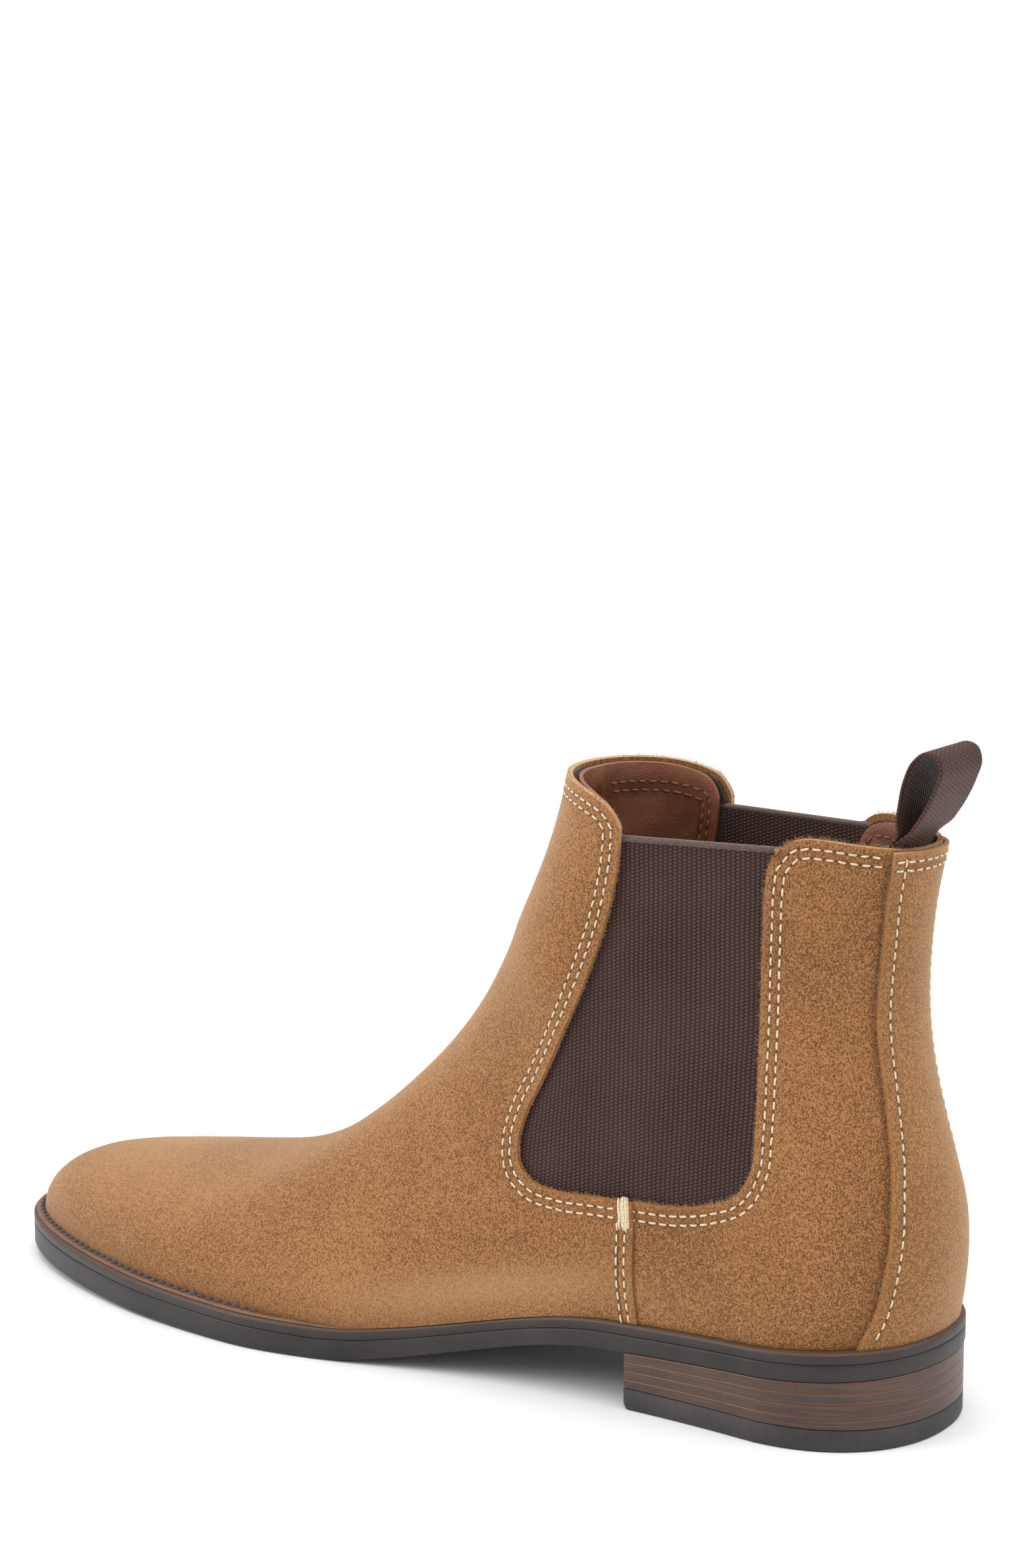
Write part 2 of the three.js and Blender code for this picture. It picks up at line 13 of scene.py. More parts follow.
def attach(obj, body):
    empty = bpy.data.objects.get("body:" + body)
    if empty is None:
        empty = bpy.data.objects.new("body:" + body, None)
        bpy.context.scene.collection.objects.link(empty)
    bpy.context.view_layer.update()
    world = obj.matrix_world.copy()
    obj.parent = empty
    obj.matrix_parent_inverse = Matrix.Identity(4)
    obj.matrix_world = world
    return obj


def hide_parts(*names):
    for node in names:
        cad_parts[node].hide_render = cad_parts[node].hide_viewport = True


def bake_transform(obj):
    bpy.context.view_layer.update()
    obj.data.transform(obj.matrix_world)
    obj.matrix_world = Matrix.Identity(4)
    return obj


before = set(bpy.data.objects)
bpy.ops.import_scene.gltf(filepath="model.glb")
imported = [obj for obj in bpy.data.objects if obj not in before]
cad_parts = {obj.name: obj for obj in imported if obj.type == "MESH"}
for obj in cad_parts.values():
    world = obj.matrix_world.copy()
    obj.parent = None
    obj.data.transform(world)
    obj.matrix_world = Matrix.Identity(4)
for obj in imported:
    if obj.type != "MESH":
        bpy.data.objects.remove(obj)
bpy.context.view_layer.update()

scene = bpy.context.scene

# Sizes in millimetres, as in the CAD.
HEEL_MIDDLE = 39.0
SOLE_LENGTH = 305.5
HEEL_LENGTH = 78.0
HEEL_HEIGHT = 15.4
COLLAR_BACK = 151.4         # height of the collar at the back line
TOE_POINT = 301.7           # y where the ridge comes down to the welt
GAP = 0.3                   # glue line between outsole and welt
WELT = 2.8
SHELF = 3.5                 # welt showing past the upper at the toe
TOP_LIFT = 6.0
LIFTS = 4
SUEDE = 1.5
FEATHER_GAP = 0.12          # panels stop this much above the welt
STITCH_ROWS = (2.4, 4.7)    # double rows inside a suede panel's edge
LINING_ROWS = (5.6, 8.0)
STRIP_ROW = 3.4             # single row inside the back strip's edges
OUTER, INNER = -1, 1
SIDES = ((OUTER, "outer"), (INNER, "inner"))
HEEL_SECTION = 0.7          # share of the fan of sections that runs from the toe to the heel


# ---- curves and the foot's surface -------------------------------------------------

def curve(rows):
    """Cubic through (x, value) rows; each tangent is the parabola through the neighbours."""
    x, v = np.array(rows, float).T
    h = np.diff(x)
    d = np.diff(v) / h
    m = np.empty_like(x)
    m[1:-1] = (h[1:] * d[:-1] + h[:-1] * d[1:]) / (h[1:] + h[:-1])
    m[0] = 2 * d[0] - m[1]
    m[-1] = 2 * d[-1] - m[-2]

    def value(at):
        at = np.clip(at, x[0], x[-1])
        i = np.clip(np.searchsorted(x, at, side="right") - 1, 0, len(x) - 2)
        t = (at - x[i]) / h[i]
        return ((2 * t**3 - 3 * t**2 + 1) * v[i] + (t**3 - 2 * t**2 + t) * h[i] * m[i]
                + (3 * t**2 - 2 * t**3) * v[i + 1] + (t**3 - t**2) * h[i] * m[i + 1])
    return value


def smooth(x):
    """3x^2 - 2x^3 between 0 and 1."""
    x = np.clip(x, 0, 1)
    return x * x * (3 - 2 * x)


def bulge(s, n, m):
    """Rounded end: (1 - (1 - s)^n)^(1/m), 0 at s = 0 with an upright start, 1 from s = 1."""
    return (1 - (1 - np.clip(s, 0, 1)) ** n) ** (1 / m)


outer_half = curve([(38, 36.8), (79, 34.7), (110, 36.1), (141, 41.5), (165, 47.5), (189, 51.2),
                    (211, 50), (229, 47.5), (251, 44), (275, 41), (305.5, 38)])
inner_half = curve([(38, 33.8), (79, 31.7), (110, 27.7), (141, 27.8), (165, 33.4), (189, 42),
                    (211, 46.3), (229, 48.5), (251, 47.5), (275, 42), (305.5, 34)])
outsole_thickness = curve([(0, 4.5), (79, 4.7), (122, 4.9), (183, 6.1), (290, 6.8), (305.5, 6.7)])
welt_shelf = curve([(0, 2), (40, 2), (85, 1.5), (110, 0.2), (150, 0.8), (185, 3.2), (230, 3.5),
                    (305.5, 3.5)])
shaft_half = curve([(0, 20.5), (20, 22), (40, 24.5), (60, 27.5), (82, 30.5), (110, 31), (150, 31)])
back_line = curve([(22, 3.4), (28, 2.6), (35, 1.6), (45, 0.8), (56, 1.3), (68, 4.1), (80, 7.4),
                   (94, 10.5), (108, 12), (122, 11.9), (136, 10.5), (152, 7.4), (168, 4.8)])
RIDGE = np.array([(110.3, 166), (113, 154), (116.8, 143), (121.7, 132), (127.2, 121),
                  (133.2, 109.5), (140.4, 97), (148.6, 86), (158.6, 75.2), (170.5, 64.2),
                  (183.5, 54.8), (196.5, 48.2), (211, 43.2), (227, 40), (243, 37.8), (257.5, 36),
                  (271.5, 34), (283.5, 31), (292.5, 26.5), (298.3, 20.8), (301.4, 15.2)])
ridge_arc = np.r_[0, np.cumsum(np.hypot(*np.diff(RIDGE, axis=0).T))]
ridge_arc /= ridge_arc[-1]
ridge_y = curve(np.c_[ridge_arc, RIDGE[:, 0]])
ridge_z = curve(np.c_[ridge_arc, RIDGE[:, 1]])


def side_half(y, side):
    """Half width of the sole before it is rounded off at its ends."""
    return np.where(np.asarray(side) < 0, outer_half(y), inner_half(y))


def sole_half(y, side, inset=0.0):
    """Half width of the sole: the side's curve less the inset, rounded off at heel and toe."""
    heel = bulge((y - inset) / 38, 2.2, 2.2)
    toe = bulge((SOLE_LENGTH - inset - y) / 80, 2, 2)
    return (side_half(y, side) - inset) * heel * toe


def sole_bottom(y):
    """Height of the outsole's underside: heel seat, falling waist, flat ball, sprung toe."""
    t = np.clip((y - HEEL_LENGTH) / (172 - HEEL_LENGTH), 0, 1)
    seat = HEEL_HEIGHT + (HEEL_LENGTH - y) * 0.05
    waist = HEEL_HEIGHT * (1 - t) ** 2 * (1 + 2 * t)
    return np.where(y < HEEL_LENGTH, seat, waist) + 3 * np.clip((y - 189) / 116.5, 0, 1) ** 1.7


def outsole_top(y):
    """Height of the outsole's upper face."""
    return sole_bottom(y) + outsole_thickness(y)


def feather(y):
    """Height where the upper meets the welt."""
    return outsole_top(y) + GAP + WELT


heel_back = float(back_line(24.0))
ridge_at = curve([(0, 1), (0.35, 0.418), (0.56, 0.268), (HEEL_SECTION, 0.199), (0.86, 0.12),
                  (1, 0)])
welt_edge_at = curve([(0, TOE_POINT), (0.35, 190), (0.56, 89), (HEEL_SECTION, heel_back)])
back_at = curve([(HEEL_SECTION, float(feather(heel_back)) - 1.5), (0.86, 122), (1, 166)])


def section(t):
    """Ends of section t in side view: on the front ridge, and on the welt edge or back line."""
    s = ridge_at(t)
    edge = welt_edge_at(t)
    up = back_at(t)
    low = t <= HEEL_SECTION
    base_y = np.where(low, edge, back_line(up))
    base_z = np.where(low, feather(edge) - 1.5, up)
    return ridge_y(s), ridge_z(s), base_y, base_z


TS = np.r_[np.linspace(0, HEEL_SECTION, 1400), np.linspace(HEEL_SECTION, 1, 700)[1:]]
SECTIONS = np.array(section(TS))


def section_of(y, z):
    """Section through a side-view point, by halving on the sign of its cross product."""
    def cross(k):
        fy, fz, by, bz = SECTIONS[:, k]
        return (by - fy) * (z - fz) - (bz - fz) * (y - fy)

    lo = np.zeros(np.shape(y), int)
    hi = np.full(np.shape(y), len(TS) - 1)
    for _ in range(11):
        mid = (lo + hi) // 2
        ahead = cross(mid) < 0
        lo = np.where(ahead, mid, lo)
        hi = np.where(ahead, hi, mid)
    a, b = cross(lo), cross(hi)
    w = np.clip(np.where(np.abs(b - a) > 1e-9, -a / np.where(b == a, 1, b - a), 0), 0, 1)
    fy, fz, by, bz = SECTIONS[:, lo] * (1 - w) + SECTIONS[:, hi] * w
    length = np.hypot(by - fy, bz - fz)
    q = ((y - fy) * (by - fy) + (z - fz) * (bz - fz)) / length**2
    return TS[lo] * (1 - w) + TS[hi] * w, np.clip(q, 0, 1), length


def half_width(y, z, side):
    """Half width of the upper at a side-view point.

    The foot's plan width above the welt turns into the shaft's oval with height. It is
    rounded off at the toe, along the front ridge within a reach that narrows from the whole
    section on the forefoot to 30 mm on the shaft, and at the back line.
    """
    t, q, length = section_of(y, z)
    turn = smooth((t - 0.3) / 0.5)
    low = feather(y)
    fill = np.where(np.asarray(side) < 0, 1.5, 4.5) * np.exp(-(((y - 118) / 38) ** 2))
    foot = (side_half(y, side) - welt_shelf(y) + fill * smooth((z - low) / 22)) \
        * bulge((SOLE_LENGTH - SHELF - y) / 78, 2, 2)
    rise = smooth((z - low - 4) / 85)
    width = foot + (shaft_half(y) - foot) * rise
    reach = length + (np.minimum(length, 30) - length) * turn
    front = bulge(q * length / reach, 2 + 0.25 * (1 - turn), 2)
    back = bulge((y - back_line(z)) / (38 - 10 * rise), 2.2, 2.2)
    return width * front * back


def on_side(y, z, side):
    """Points of the upper over side-view points."""
    return np.stack([side * half_width(y, z, side), y, z], -1)


def side_normal(y, z, side):
    """Outward normal of the upper over side-view points, from half_width's slopes."""
    e = 0.25
    wy = (half_width(y + e, z, side) - half_width(y - e, z, side)) / (2 * e)
    wz = (half_width(y, z + e, side) - half_width(y, z - e, side)) / (2 * e)
    n = np.stack([side * np.ones_like(wy), -wy, -wz], -1)
    return n / np.linalg.norm(n, axis=-1, keepdims=True)


def back_y(x, z):
    """Depth of the upper's back at width x and height z, by halving on half_width."""
    side = np.where(x < 0, OUTER, INNER)
    lo = back_line(z)
    hi = lo + 46
    for _ in range(22):
        mid = (lo + hi) / 2
        short = half_width(mid, z, side) < np.abs(x)
        lo = np.where(short, mid, lo)
        hi = np.where(short, hi, mid)
    return (lo + hi) / 2


# ---- outlines in side view ---------------------------------------------------------

def spaced(points, count):
    """Smooth line through points, count + 1 points at equal steps."""
    p = np.array(points, float)
    s = np.r_[0, np.cumsum(np.hypot(*np.diff(p, axis=0).T))]
    fine = np.linspace(0, s[-1], 40 * len(p))
    line = np.stack([curve(np.c_[s, p[:, k]])(fine) for k in (0, 1)], -1)
    arc = np.r_[0, np.cumsum(np.hypot(*np.diff(line, axis=0).T))]
    at = np.linspace(0, arc[-1], count + 1)
    return np.stack([np.interp(at, arc, line[:, k]) for k in (0, 1)], -1)


def shifted(line, distance):
    """A line moved to its right-hand side by a distance, along its own normals."""
    d = np.gradient(line, axis=0)
    d /= np.linalg.norm(d, axis=1, keepdims=True)
    return line + np.stack([d[:, 1], -d[:, 0]], -1) * distance


GORE_EDGE = spaced([(39.0, 150.4), (41.2, 147.4), (42.4, 141), (42.8, 131), (43.1, 117), (43.1, 97),
                    (42.5, 78), (42.6, 69.5), (46.2, 62.4), (54, 58.6), (64, 56.4), (76, 55.9),
                    (88, 55.6), (98, 55.6), (105.5, 57.2), (109.8, 61.2), (111, 67.5),
                    (109.3, 75.2), (105.5, 83), (99.4, 95.6), (94.5, 105.7), (90.2, 115.8),
                    (86.4, 126), (83.8, 135.4), (82, 145), (81.6, 153.6)], 700)
SEAM_TOP = int(np.argmin(np.abs(GORE_EDGE[:, 0] - 75.9) + 9 * (GORE_EDGE[:, 1] > 80)))
SEAM = spaced([(73.6, 22.5), (74.7, 29), (75.3, 35), (75.4, 42), (75.3, 49),
               tuple(GORE_EDGE[SEAM_TOP])], 60)
REAR_COLLAR = spaced([(7.2, 151.4), (10.3, 151.6), (14, 152.2), (20.1, 153.1), (26.9, 154),
                      (32, 154.1), (36.2, 153), (39.0, 150.4)], 120)
FRONT_COLLAR = spaced([(81.6, 153.6), (83.2, 156.4), (85.8, 158.9), (90.6, 160.9), (96, 162.4),
                       (103, 163.6), (110.6, 164.3)], 120)
PANEL_RIM = np.concatenate([REAR_COLLAR[:-1], GORE_EDGE, FRONT_COLLAR[1:]])


def along(line):
    """Points of a polyline at shares of its length."""
    arc = np.r_[0, np.cumsum(np.hypot(*np.diff(line, axis=0).T))]
    arc /= arc[-1]
    return lambda s: np.stack([np.interp(s, arc, line[:, k]) for k in (0, 1)], -1)


def keyed(parts):
    """One path from (share, line) parts, each line filling its stretch of shares."""
    stops = [0.0] + [share for share, _ in parts]
    runs = [along(line) for _, line in parts]

    def value(s):
        s = np.asarray(s, float)
        out = np.zeros(s.shape + (2,))
        for k, run in enumerate(runs):
            inside = (s >= stops[k]) if k else np.ones(s.shape, bool)
            local = np.clip((s - stops[k]) / (stops[k + 1] - stops[k]), 0, 1)
            out = np.where(inside[..., None], run(local), out)
        return out
    return value


def patch(bottom, top, near, far, s, r):
    """Coons patch: both pairs of facing edges blended, less the corners counted twice."""
    a, b = s[..., None], r[..., None]
    corner = [bottom(np.array(0.0)), bottom(np.array(1.0)), top(np.array(0.0)), top(np.array(1.0))]
    flat = ((1 - a) * (1 - b) * corner[0] + (1 - a) * b * corner[1]
            + a * (1 - b) * corner[2] + a * b * corner[3])
    return (1 - a) * bottom(r) + a * top(r) + (1 - b) * near(s) + b * far(s) - flat


def feather_line(y0, y1, count=200):
    """The welt edge in side view from y0 to y1, a little into the gap over the welt."""
    y = np.linspace(y0, y1, count)
    return np.stack([y, feather(y) + FEATHER_GAP], -1)


# ---- meshes ------------------------------------------------------------------------

def metres(points):
    """Working millimetres to metres about the middle of the heel."""
    p = np.asarray(points, float).reshape(-1, 3) * 0.001
    p[:, 1] -= HEEL_MIDDLE * 0.001
    return p


def mesh_piece(name, points, faces, look, body="boot", slot=None, uv=None, marks=None,
               smooth_faces=True, replaces=()):
    """A piece from points (n, 3) in millimetres and quads or triangles (m, k).

    uv holds one pair per point in metres; marks are named numbers per point.
    """
    mesh = bpy.data.meshes.new(name)
    faces = np.asarray(faces, int)
    mesh.from_pydata(metres(points).tolist(), [], faces.tolist())
    if uv is not None:
        layer = mesh.uv_layers.new(name="laid")
        corners = np.empty(len(mesh.loops), int)
        mesh.loops.foreach_get("vertex_index", corners)
        layer.data.foreach_set("uv", np.asarray(uv, float).reshape(-1, 2)[corners].ravel())
    for key, values in (marks or {}).items():
        mark = mesh.attributes.new(key, "FLOAT", "POINT")
        mark.data.foreach_set("value", np.asarray(values, np.float32).ravel())
    mesh.polygons.foreach_set("use_smooth", np.full(len(mesh.polygons), smooth_faces))
    mesh.update()
    piece = bpy.data.objects.new(name, mesh)
    scene.collection.objects.link(piece)
    for one in (look if isinstance(look, (list, tuple)) else [look]):
        mesh.materials.append(one)
    if body:
        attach(piece, body)
    if replaces:
        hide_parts(*replaces)
    return piece


def grid_faces(rows, cols, wrap_rows=False, wrap_cols=False, flip=False):
    """Quads of a rows x cols grid, joined round where asked."""
    i = np.arange(rows if wrap_rows else rows - 1)
    j = np.arange(cols if wrap_cols else cols - 1)
    i, j = np.meshgrid(i, j, indexing="ij")
    i2, j2 = (i + 1) % rows, (j + 1) % cols
    quads = np.stack([i * cols + j, i * cols + j2, i2 * cols + j2, i2 * cols + j], -1)
    quads = quads.reshape(-1, 4)
    return quads[:, ::-1] if flip else quads


def grid_normals(points):
    """Unit normals of a grid from the cross product of its two directions."""
    a = np.gradient(points, axis=0)
    b = np.gradient(points, axis=1)
    n = np.cross(a, b)
    length = np.linalg.norm(n, axis=-1, keepdims=True)
    return n / np.maximum(length, 1e-9)


def turned_out(points):
    """True where the cross product of a grid's rows and columns points away from x = 0."""
    n = np.cross(np.gradient(points, axis=0), np.gradient(points, axis=1))
    return (n[..., 0] * np.sign(points[..., 0])).sum() > 0


def grid_lengths(points):
    """Arc length in metres along both directions of a grid, for its UV map."""
    du = np.linalg.norm(np.diff(points, axis=1), axis=-1)
    dv = np.linalg.norm(np.diff(points, axis=0), axis=-1)
    u = np.concatenate([np.zeros((len(points), 1)), np.cumsum(du, 1)], 1)
    v = np.concatenate([np.zeros((1, points.shape[1])), np.cumsum(dv, 0)], 0)
    return np.stack([u, v], -1) * 0.001


def distance_to(points, line):
    """Distance of each point to the nearest point of a closely spaced line."""
    flat = points.reshape(-1, 3)
    out = np.empty(len(flat))
    for k in range(0, len(flat), 4000):
        d = flat[k:k + 4000, None] - line[None]
        out[k:k + 4000] = np.sqrt((d * d).sum(-1).min(1))
    return out.reshape(points.shape[:-1])


def thicken(piece, thickness, bevel=0.0, rim=0):
    """Solidify inwards from the face, and round the rim with a small bevel."""
    wall = piece.modifiers.new("wall", "SOLIDIFY")
    wall.thickness = thickness * 0.001
    wall.offset = -1
    wall.use_even_offset = False
    wall.material_offset_rim = rim
    if bevel:
        edge = piece.modifiers.new("edge", "BEVEL")
        edge.width = bevel * 0.001
        edge.segments = 2
        edge.limit_method = "ANGLE"
        edge.angle_limit = 1.0
        edge.harden_normals = False


# Distances in from a sheet's edge at which its grid has lines: close together in a fine sheet,
# so that its stitch channels and cut edge come out sharp.
FINE_STEPS = np.array([0, 0.35, 0.7, 1.1, 1.5, 1.9, 2.3, 2.7, 3.1, 3.6, 4.1, 4.6, 5.1, 5.7, 6.5, 8])
PLAIN_STEPS = np.array([0, 0.7, 2])


def line_shares(count, length, fine):
    """Shares of each line from 0, spread as 1 - cos(u pi / 2), then the edge steps short of 1."""
    length = length[..., None]
    dense = 1 - (FINE_STEPS if fine else PLAIN_STEPS)[::-1] / length
    spread = 1 - np.cos(np.linspace(0, 1, count, endpoint=False) * np.pi / 2)
    return np.concatenate([spread * np.ones_like(length) * dense[..., :1], dense], -1)


def lowered(path, drop):
    """A side-view path whose last tenth sinks smoothly by a drop."""
    return lambda s: path(s) - np.array([0.0, drop]) * smooth((s - 0.9) / 0.1)[..., None]


def back_path(up):
    """Back line in side view at a height that depends on the share."""
    return lambda s: np.stack([back_line(up(s)), up(s)], -1)


def ridge_span(s):
    """Ridge in side view at a share of its arc from the collar."""
    return np.stack([ridge_y(s), ridge_z(s)], -1)


def seam_border(across, gore):
    """The seam moved across, from the welt edge to the gore's edge."""
    line = SEAM + np.array([across, 0])
    line = line[(line[:, 1] > feather(line[:, 0]) + 0.6) & (line[:, 1] < gore[SEAM_TOP, 1] - 0.5)]
    start = [line[0, 0], feather(line[0, 0]) + FEATHER_GAP]
    return np.concatenate([[start], line, gore[SEAM_TOP:SEAM_TOP + 1]])


def vamp_sheet(inset=0.0, drop=0.0, depth=0.0, rows=150, cols=44, fine=True):
    """Vamp and front shaft as one grid over both sides, from toe to collar.

    Lines in side view run from the ridge to the outer border: the welt edge, the seam, the
    gore's edge and the collar. They sag by bend, as sin(pi r^2), to meet the gore's lower edge
    from below. inset draws the border back, drop lowers the collar and depth sinks the sheet
    along its normals. A row on the middle plane closes the toe.
    """
    gore = shifted(GORE_EDGE, inset)
    foot = seam_border(inset, gore)
    turn = int(0.62 * len(gore))
    border = keyed([(0.46, feather_line(TOE_POINT, foot[0, 0])), (0.54, foot),
                    (0.64, gore[SEAM_TOP:turn]), (1.0, gore[turn - 1:])])
    ridge_stops = curve([(0, 1), (0.3, 0.84), (0.46, 0.65), (0.54, 0.58), (0.59, 0.44), (0.64, 0.32),
                         (0.8, 0.23), (1, 0.005)])
    bend = curve([(0, 0), (0.25, 0), (0.54, 4), (0.62, 5.5), (0.8, 0), (1, 0)])
    near = lowered(lambda s: ridge_span(ridge_stops(s)), drop)
    far = lowered(border, drop)
    toe = along(np.array([ridge_span(np.array(1.0)), border(np.array(0.0))]))
    collar = along(FRONT_COLLAR[::-1] - [0, drop])
    s = np.unique(np.r_[np.linspace(0, 1, rows) ** 1.15, 0.46, np.linspace(0.54, 0.66, 49),
                        (1 - FINE_STEPS / 260 if fine else [])])
    gap = np.linalg.norm(near(s) - far(s), axis=-1)
    r = line_shares(cols, np.maximum(gap, 14), fine)
    side_view = patch(toe, collar, near, far, s[:, None] * np.ones_like(r), r)
    side_view = side_view - (bend(s)[:, None] * np.sin(np.pi * r**2))[..., None] * [0, 1]
    y, z = side_view[..., 0], side_view[..., 1]
    left = on_side(y, z, OUTER)
    right = on_side(y, z, INNER)
    left[:, 0, 0] = right[:, 0, 0] = 0
    grid = np.concatenate([left[:, :0:-1], right], 1)
    if depth:
        grid = grid - outward(grid) * depth
    tip = grid[:1] * [0, 1, 1]
    tip[..., 1] = SOLE_LENGTH - SHELF - 0.02 - depth
    return np.concatenate([tip, grid])


def outward(grid):
    """Outward normals of a grid on the upper: its own near the middle plane, where the height
    field stands upright, and the height field's on the sides."""
    n = grid_normals(grid)
    if not turned_out(grid):
        n = -n
    side = np.where(grid[..., 0] < 0, OUTER, INNER)
    field = side_normal(grid[..., 1], grid[..., 2], side)
    w = smooth((np.abs(grid[..., 0]) - 1) / 7)[..., None]
    n = n * (1 - w) + field * w
    return n / np.maximum(np.linalg.norm(n, axis=-1, keepdims=True), 1e-9)


def quarter_sheet(side, inset=0.0, drop=0.0, depth=0.0, rows=90, cols=34, fine=True):
    """One quarter: lines run from the back line to the seam and the gore's rear edge."""
    gore = shifted(GORE_EDGE, inset)
    foot = seam_border(-inset - 0.05, gore)
    turn = int(0.36 * len(gore))
    border = keyed([(0.22, foot), (0.42, gore[SEAM_TOP:turn:-1]), (1.0, gore[turn::-1])])
    up = curve([(0, float(feather(heel_back)) + FEATHER_GAP), (0.22, 42), (0.42, 62),
                (1, COLLAR_BACK)])
    near = lowered(back_path(up), drop)
    far = lowered(border, drop)
    base = along(feather_line(heel_back, foot[0, 0]))
    collar = along(REAR_COLLAR - [0, drop])
    s = np.unique(np.r_[np.linspace(0, 1, rows), 0.22, 0.42,
                        (1 - FINE_STEPS / 140 if fine else [])])
    gap = np.linalg.norm(near(s) - far(s), axis=-1)
    r = line_shares(cols, gap, fine)
    side_view = patch(base, collar, near, far, s[:, None] * np.ones_like(r), r)
    grid = on_side(side_view[..., 0], side_view[..., 1], side)
    grid[:, 0, 0] = 0
    if depth:
        grid = grid - outward(grid) * depth
    return grid


def sheet_piece(name, grid, look, thickness, bevel, slot, replaces, marks=None):
    """A thickened grid whose faces point away from the boot's middle."""
    faces = grid_faces(*grid.shape[:2], flip=turned_out(grid))
    piece = mesh_piece(name, grid, faces, look, "boot", slot, grid_lengths(grid), marks,
                       replaces=replaces)
    thicken(piece, thickness, bevel, 1 if isinstance(look, (list, tuple)) else 0)
    return piece


# ---- threads -----------------------------------------------------------------------

def run_along(points, normals, step):
    """Evenly spaced places on a line: points, tangents and normals at every step."""
    arc = np.r_[0, np.cumsum(np.linalg.norm(np.diff(points, axis=0), axis=1))]
    count = max(2, int(arc[-1] / step))
    at = (np.arange(count) + 0.5) * arc[-1] / count
    place = np.stack([np.interp(at, arc, points[:, k]) for k in range(3)], -1)
    slope = np.gradient(points, arc, axis=0)
    tangent = np.stack([np.interp(at, arc, slope[:, k]) for k in range(3)], -1)
    normal = np.stack([np.interp(at, arc, normals[:, k]) for k in range(3)], -1)
    tangent /= np.linalg.norm(tangent, axis=1, keepdims=True)
    normal -= tangent * (normal * tangent).sum(1, keepdims=True)
    normal /= np.linalg.norm(normal, axis=1, keepdims=True)
    return place, tangent, normal


def stitch_shapes(lines, step, length, radius, lift, seed):
    """Stitches on (points, normals) lines: each a short thread arched over the surface.

    Along a stitch, u from -1 to 1: height lift (1 - u^2) - 0.6 radius, and the thread narrows
    to half at its ends where it dips into its needle holes.
    """
    draw = np.random.default_rng(seed)
    rings, sides = 7, 6
    count = rings * sides
    u = np.linspace(-1, 1, rings)
    ring = np.linspace(0, 2 * np.pi, sides + 1)[:-1]
    cap = np.array([[0, 1, 2, 3], [0, 3, 4, 5]])
    one = np.concatenate([grid_faces(rings, sides, wrap_cols=True, flip=True), cap, count - 1 - cap])
    all_points, all_faces, base = [], [], 0
    for points, normals in lines:
        c, t, n = run_along(points, normals, step)
        b = np.cross(t, n)
        k = len(c)
        slant = draw.normal(0, 0.045, (k, 1))
        size = draw.uniform(0.92, 1.08, (k, 1, 1))
        t = t + b * slant
        mid = (c[:, None] + t[:, None] * (u[None, :, None] * length / 2 * size)
               + n[:, None] * (lift * (1 - u**2) - 0.6 * radius)[None, :, None])
        thick = radius * (0.5 + 0.5 * np.sqrt(1 - u**2 * 0.96))
        across = (b[:, None, None] * np.cos(ring)[None, None, :, None]
                  + n[:, None, None] * np.sin(ring)[None, None, :, None] * 0.85)
        p = mid[:, :, None] + across * thick[None, :, None, None]
        all_points.append(p.reshape(-1, 3))
        all_faces.append((one[None] + (base + count * np.arange(k))[:, None, None]).reshape(-1, 4))
        base += count * k
    return np.concatenate(all_points), np.concatenate(all_faces)


def hole_shapes(lines, step, length, size, lift):
    """Needle holes as painted shade: a dark flat oval of eight sides, a little longer than wide, at
    both ends of every stitch."""
    sides = 8
    ring = np.linspace(0, 2 * np.pi, sides + 1)[:-1]
    points, faces, base = [], [], 0
    one = np.array([[0, 1, 2, 3], [0, 3, 4, 5], [0, 5, 6, 7]])
    for line, normals in lines:
        c, t, n = run_along(line, normals, step)
        b = np.cross(t, n)
        for end in (-1, 1):
            at = c + t * (end * length * 0.53) + n * lift
            p = at[:, None] + (t[:, None] * np.cos(ring)[None, :, None] * 1.15
                               + b[:, None] * np.sin(ring)[None, :, None]) * size
            points.append(p.reshape(-1, 3))
            shift = (base + sides * np.arange(len(c)))[:, None, None]
            faces.append((one[None] + shift).reshape(-1, 4))
            base += sides * len(c)
    return np.concatenate(points), np.concatenate(faces)


def seam_line(line, side, lift=0.0):
    """A side-view line laid on the upper: its points and outward normals."""
    y, z = line[:, 0], line[:, 1]
    n = side_normal(y, z, side)
    return on_side(y, z, side) + n * lift, n


def side_points(line, side, lift=0.0):
    """Surface points of a side-view line."""
    return seam_line(line, side, lift)[0]


def stitched(name, lines, look, seed, holes=None, step=3.0, length=2.35, radius=0.3, lift=0.3):
    """One piece of thread stitches along lines, and one of needle holes, dark ovals of painted
    shade, where it has a look.
    """
    points, faces = stitch_shapes(lines, step, length, radius, lift, seed)
    mesh_piece(name, points, faces, look)
    if holes:
        points, faces = hole_shapes(lines, step, length, 0.24, 0.04)
        mesh_piece(name + "_holes", points, faces, holes, smooth_faces=False)


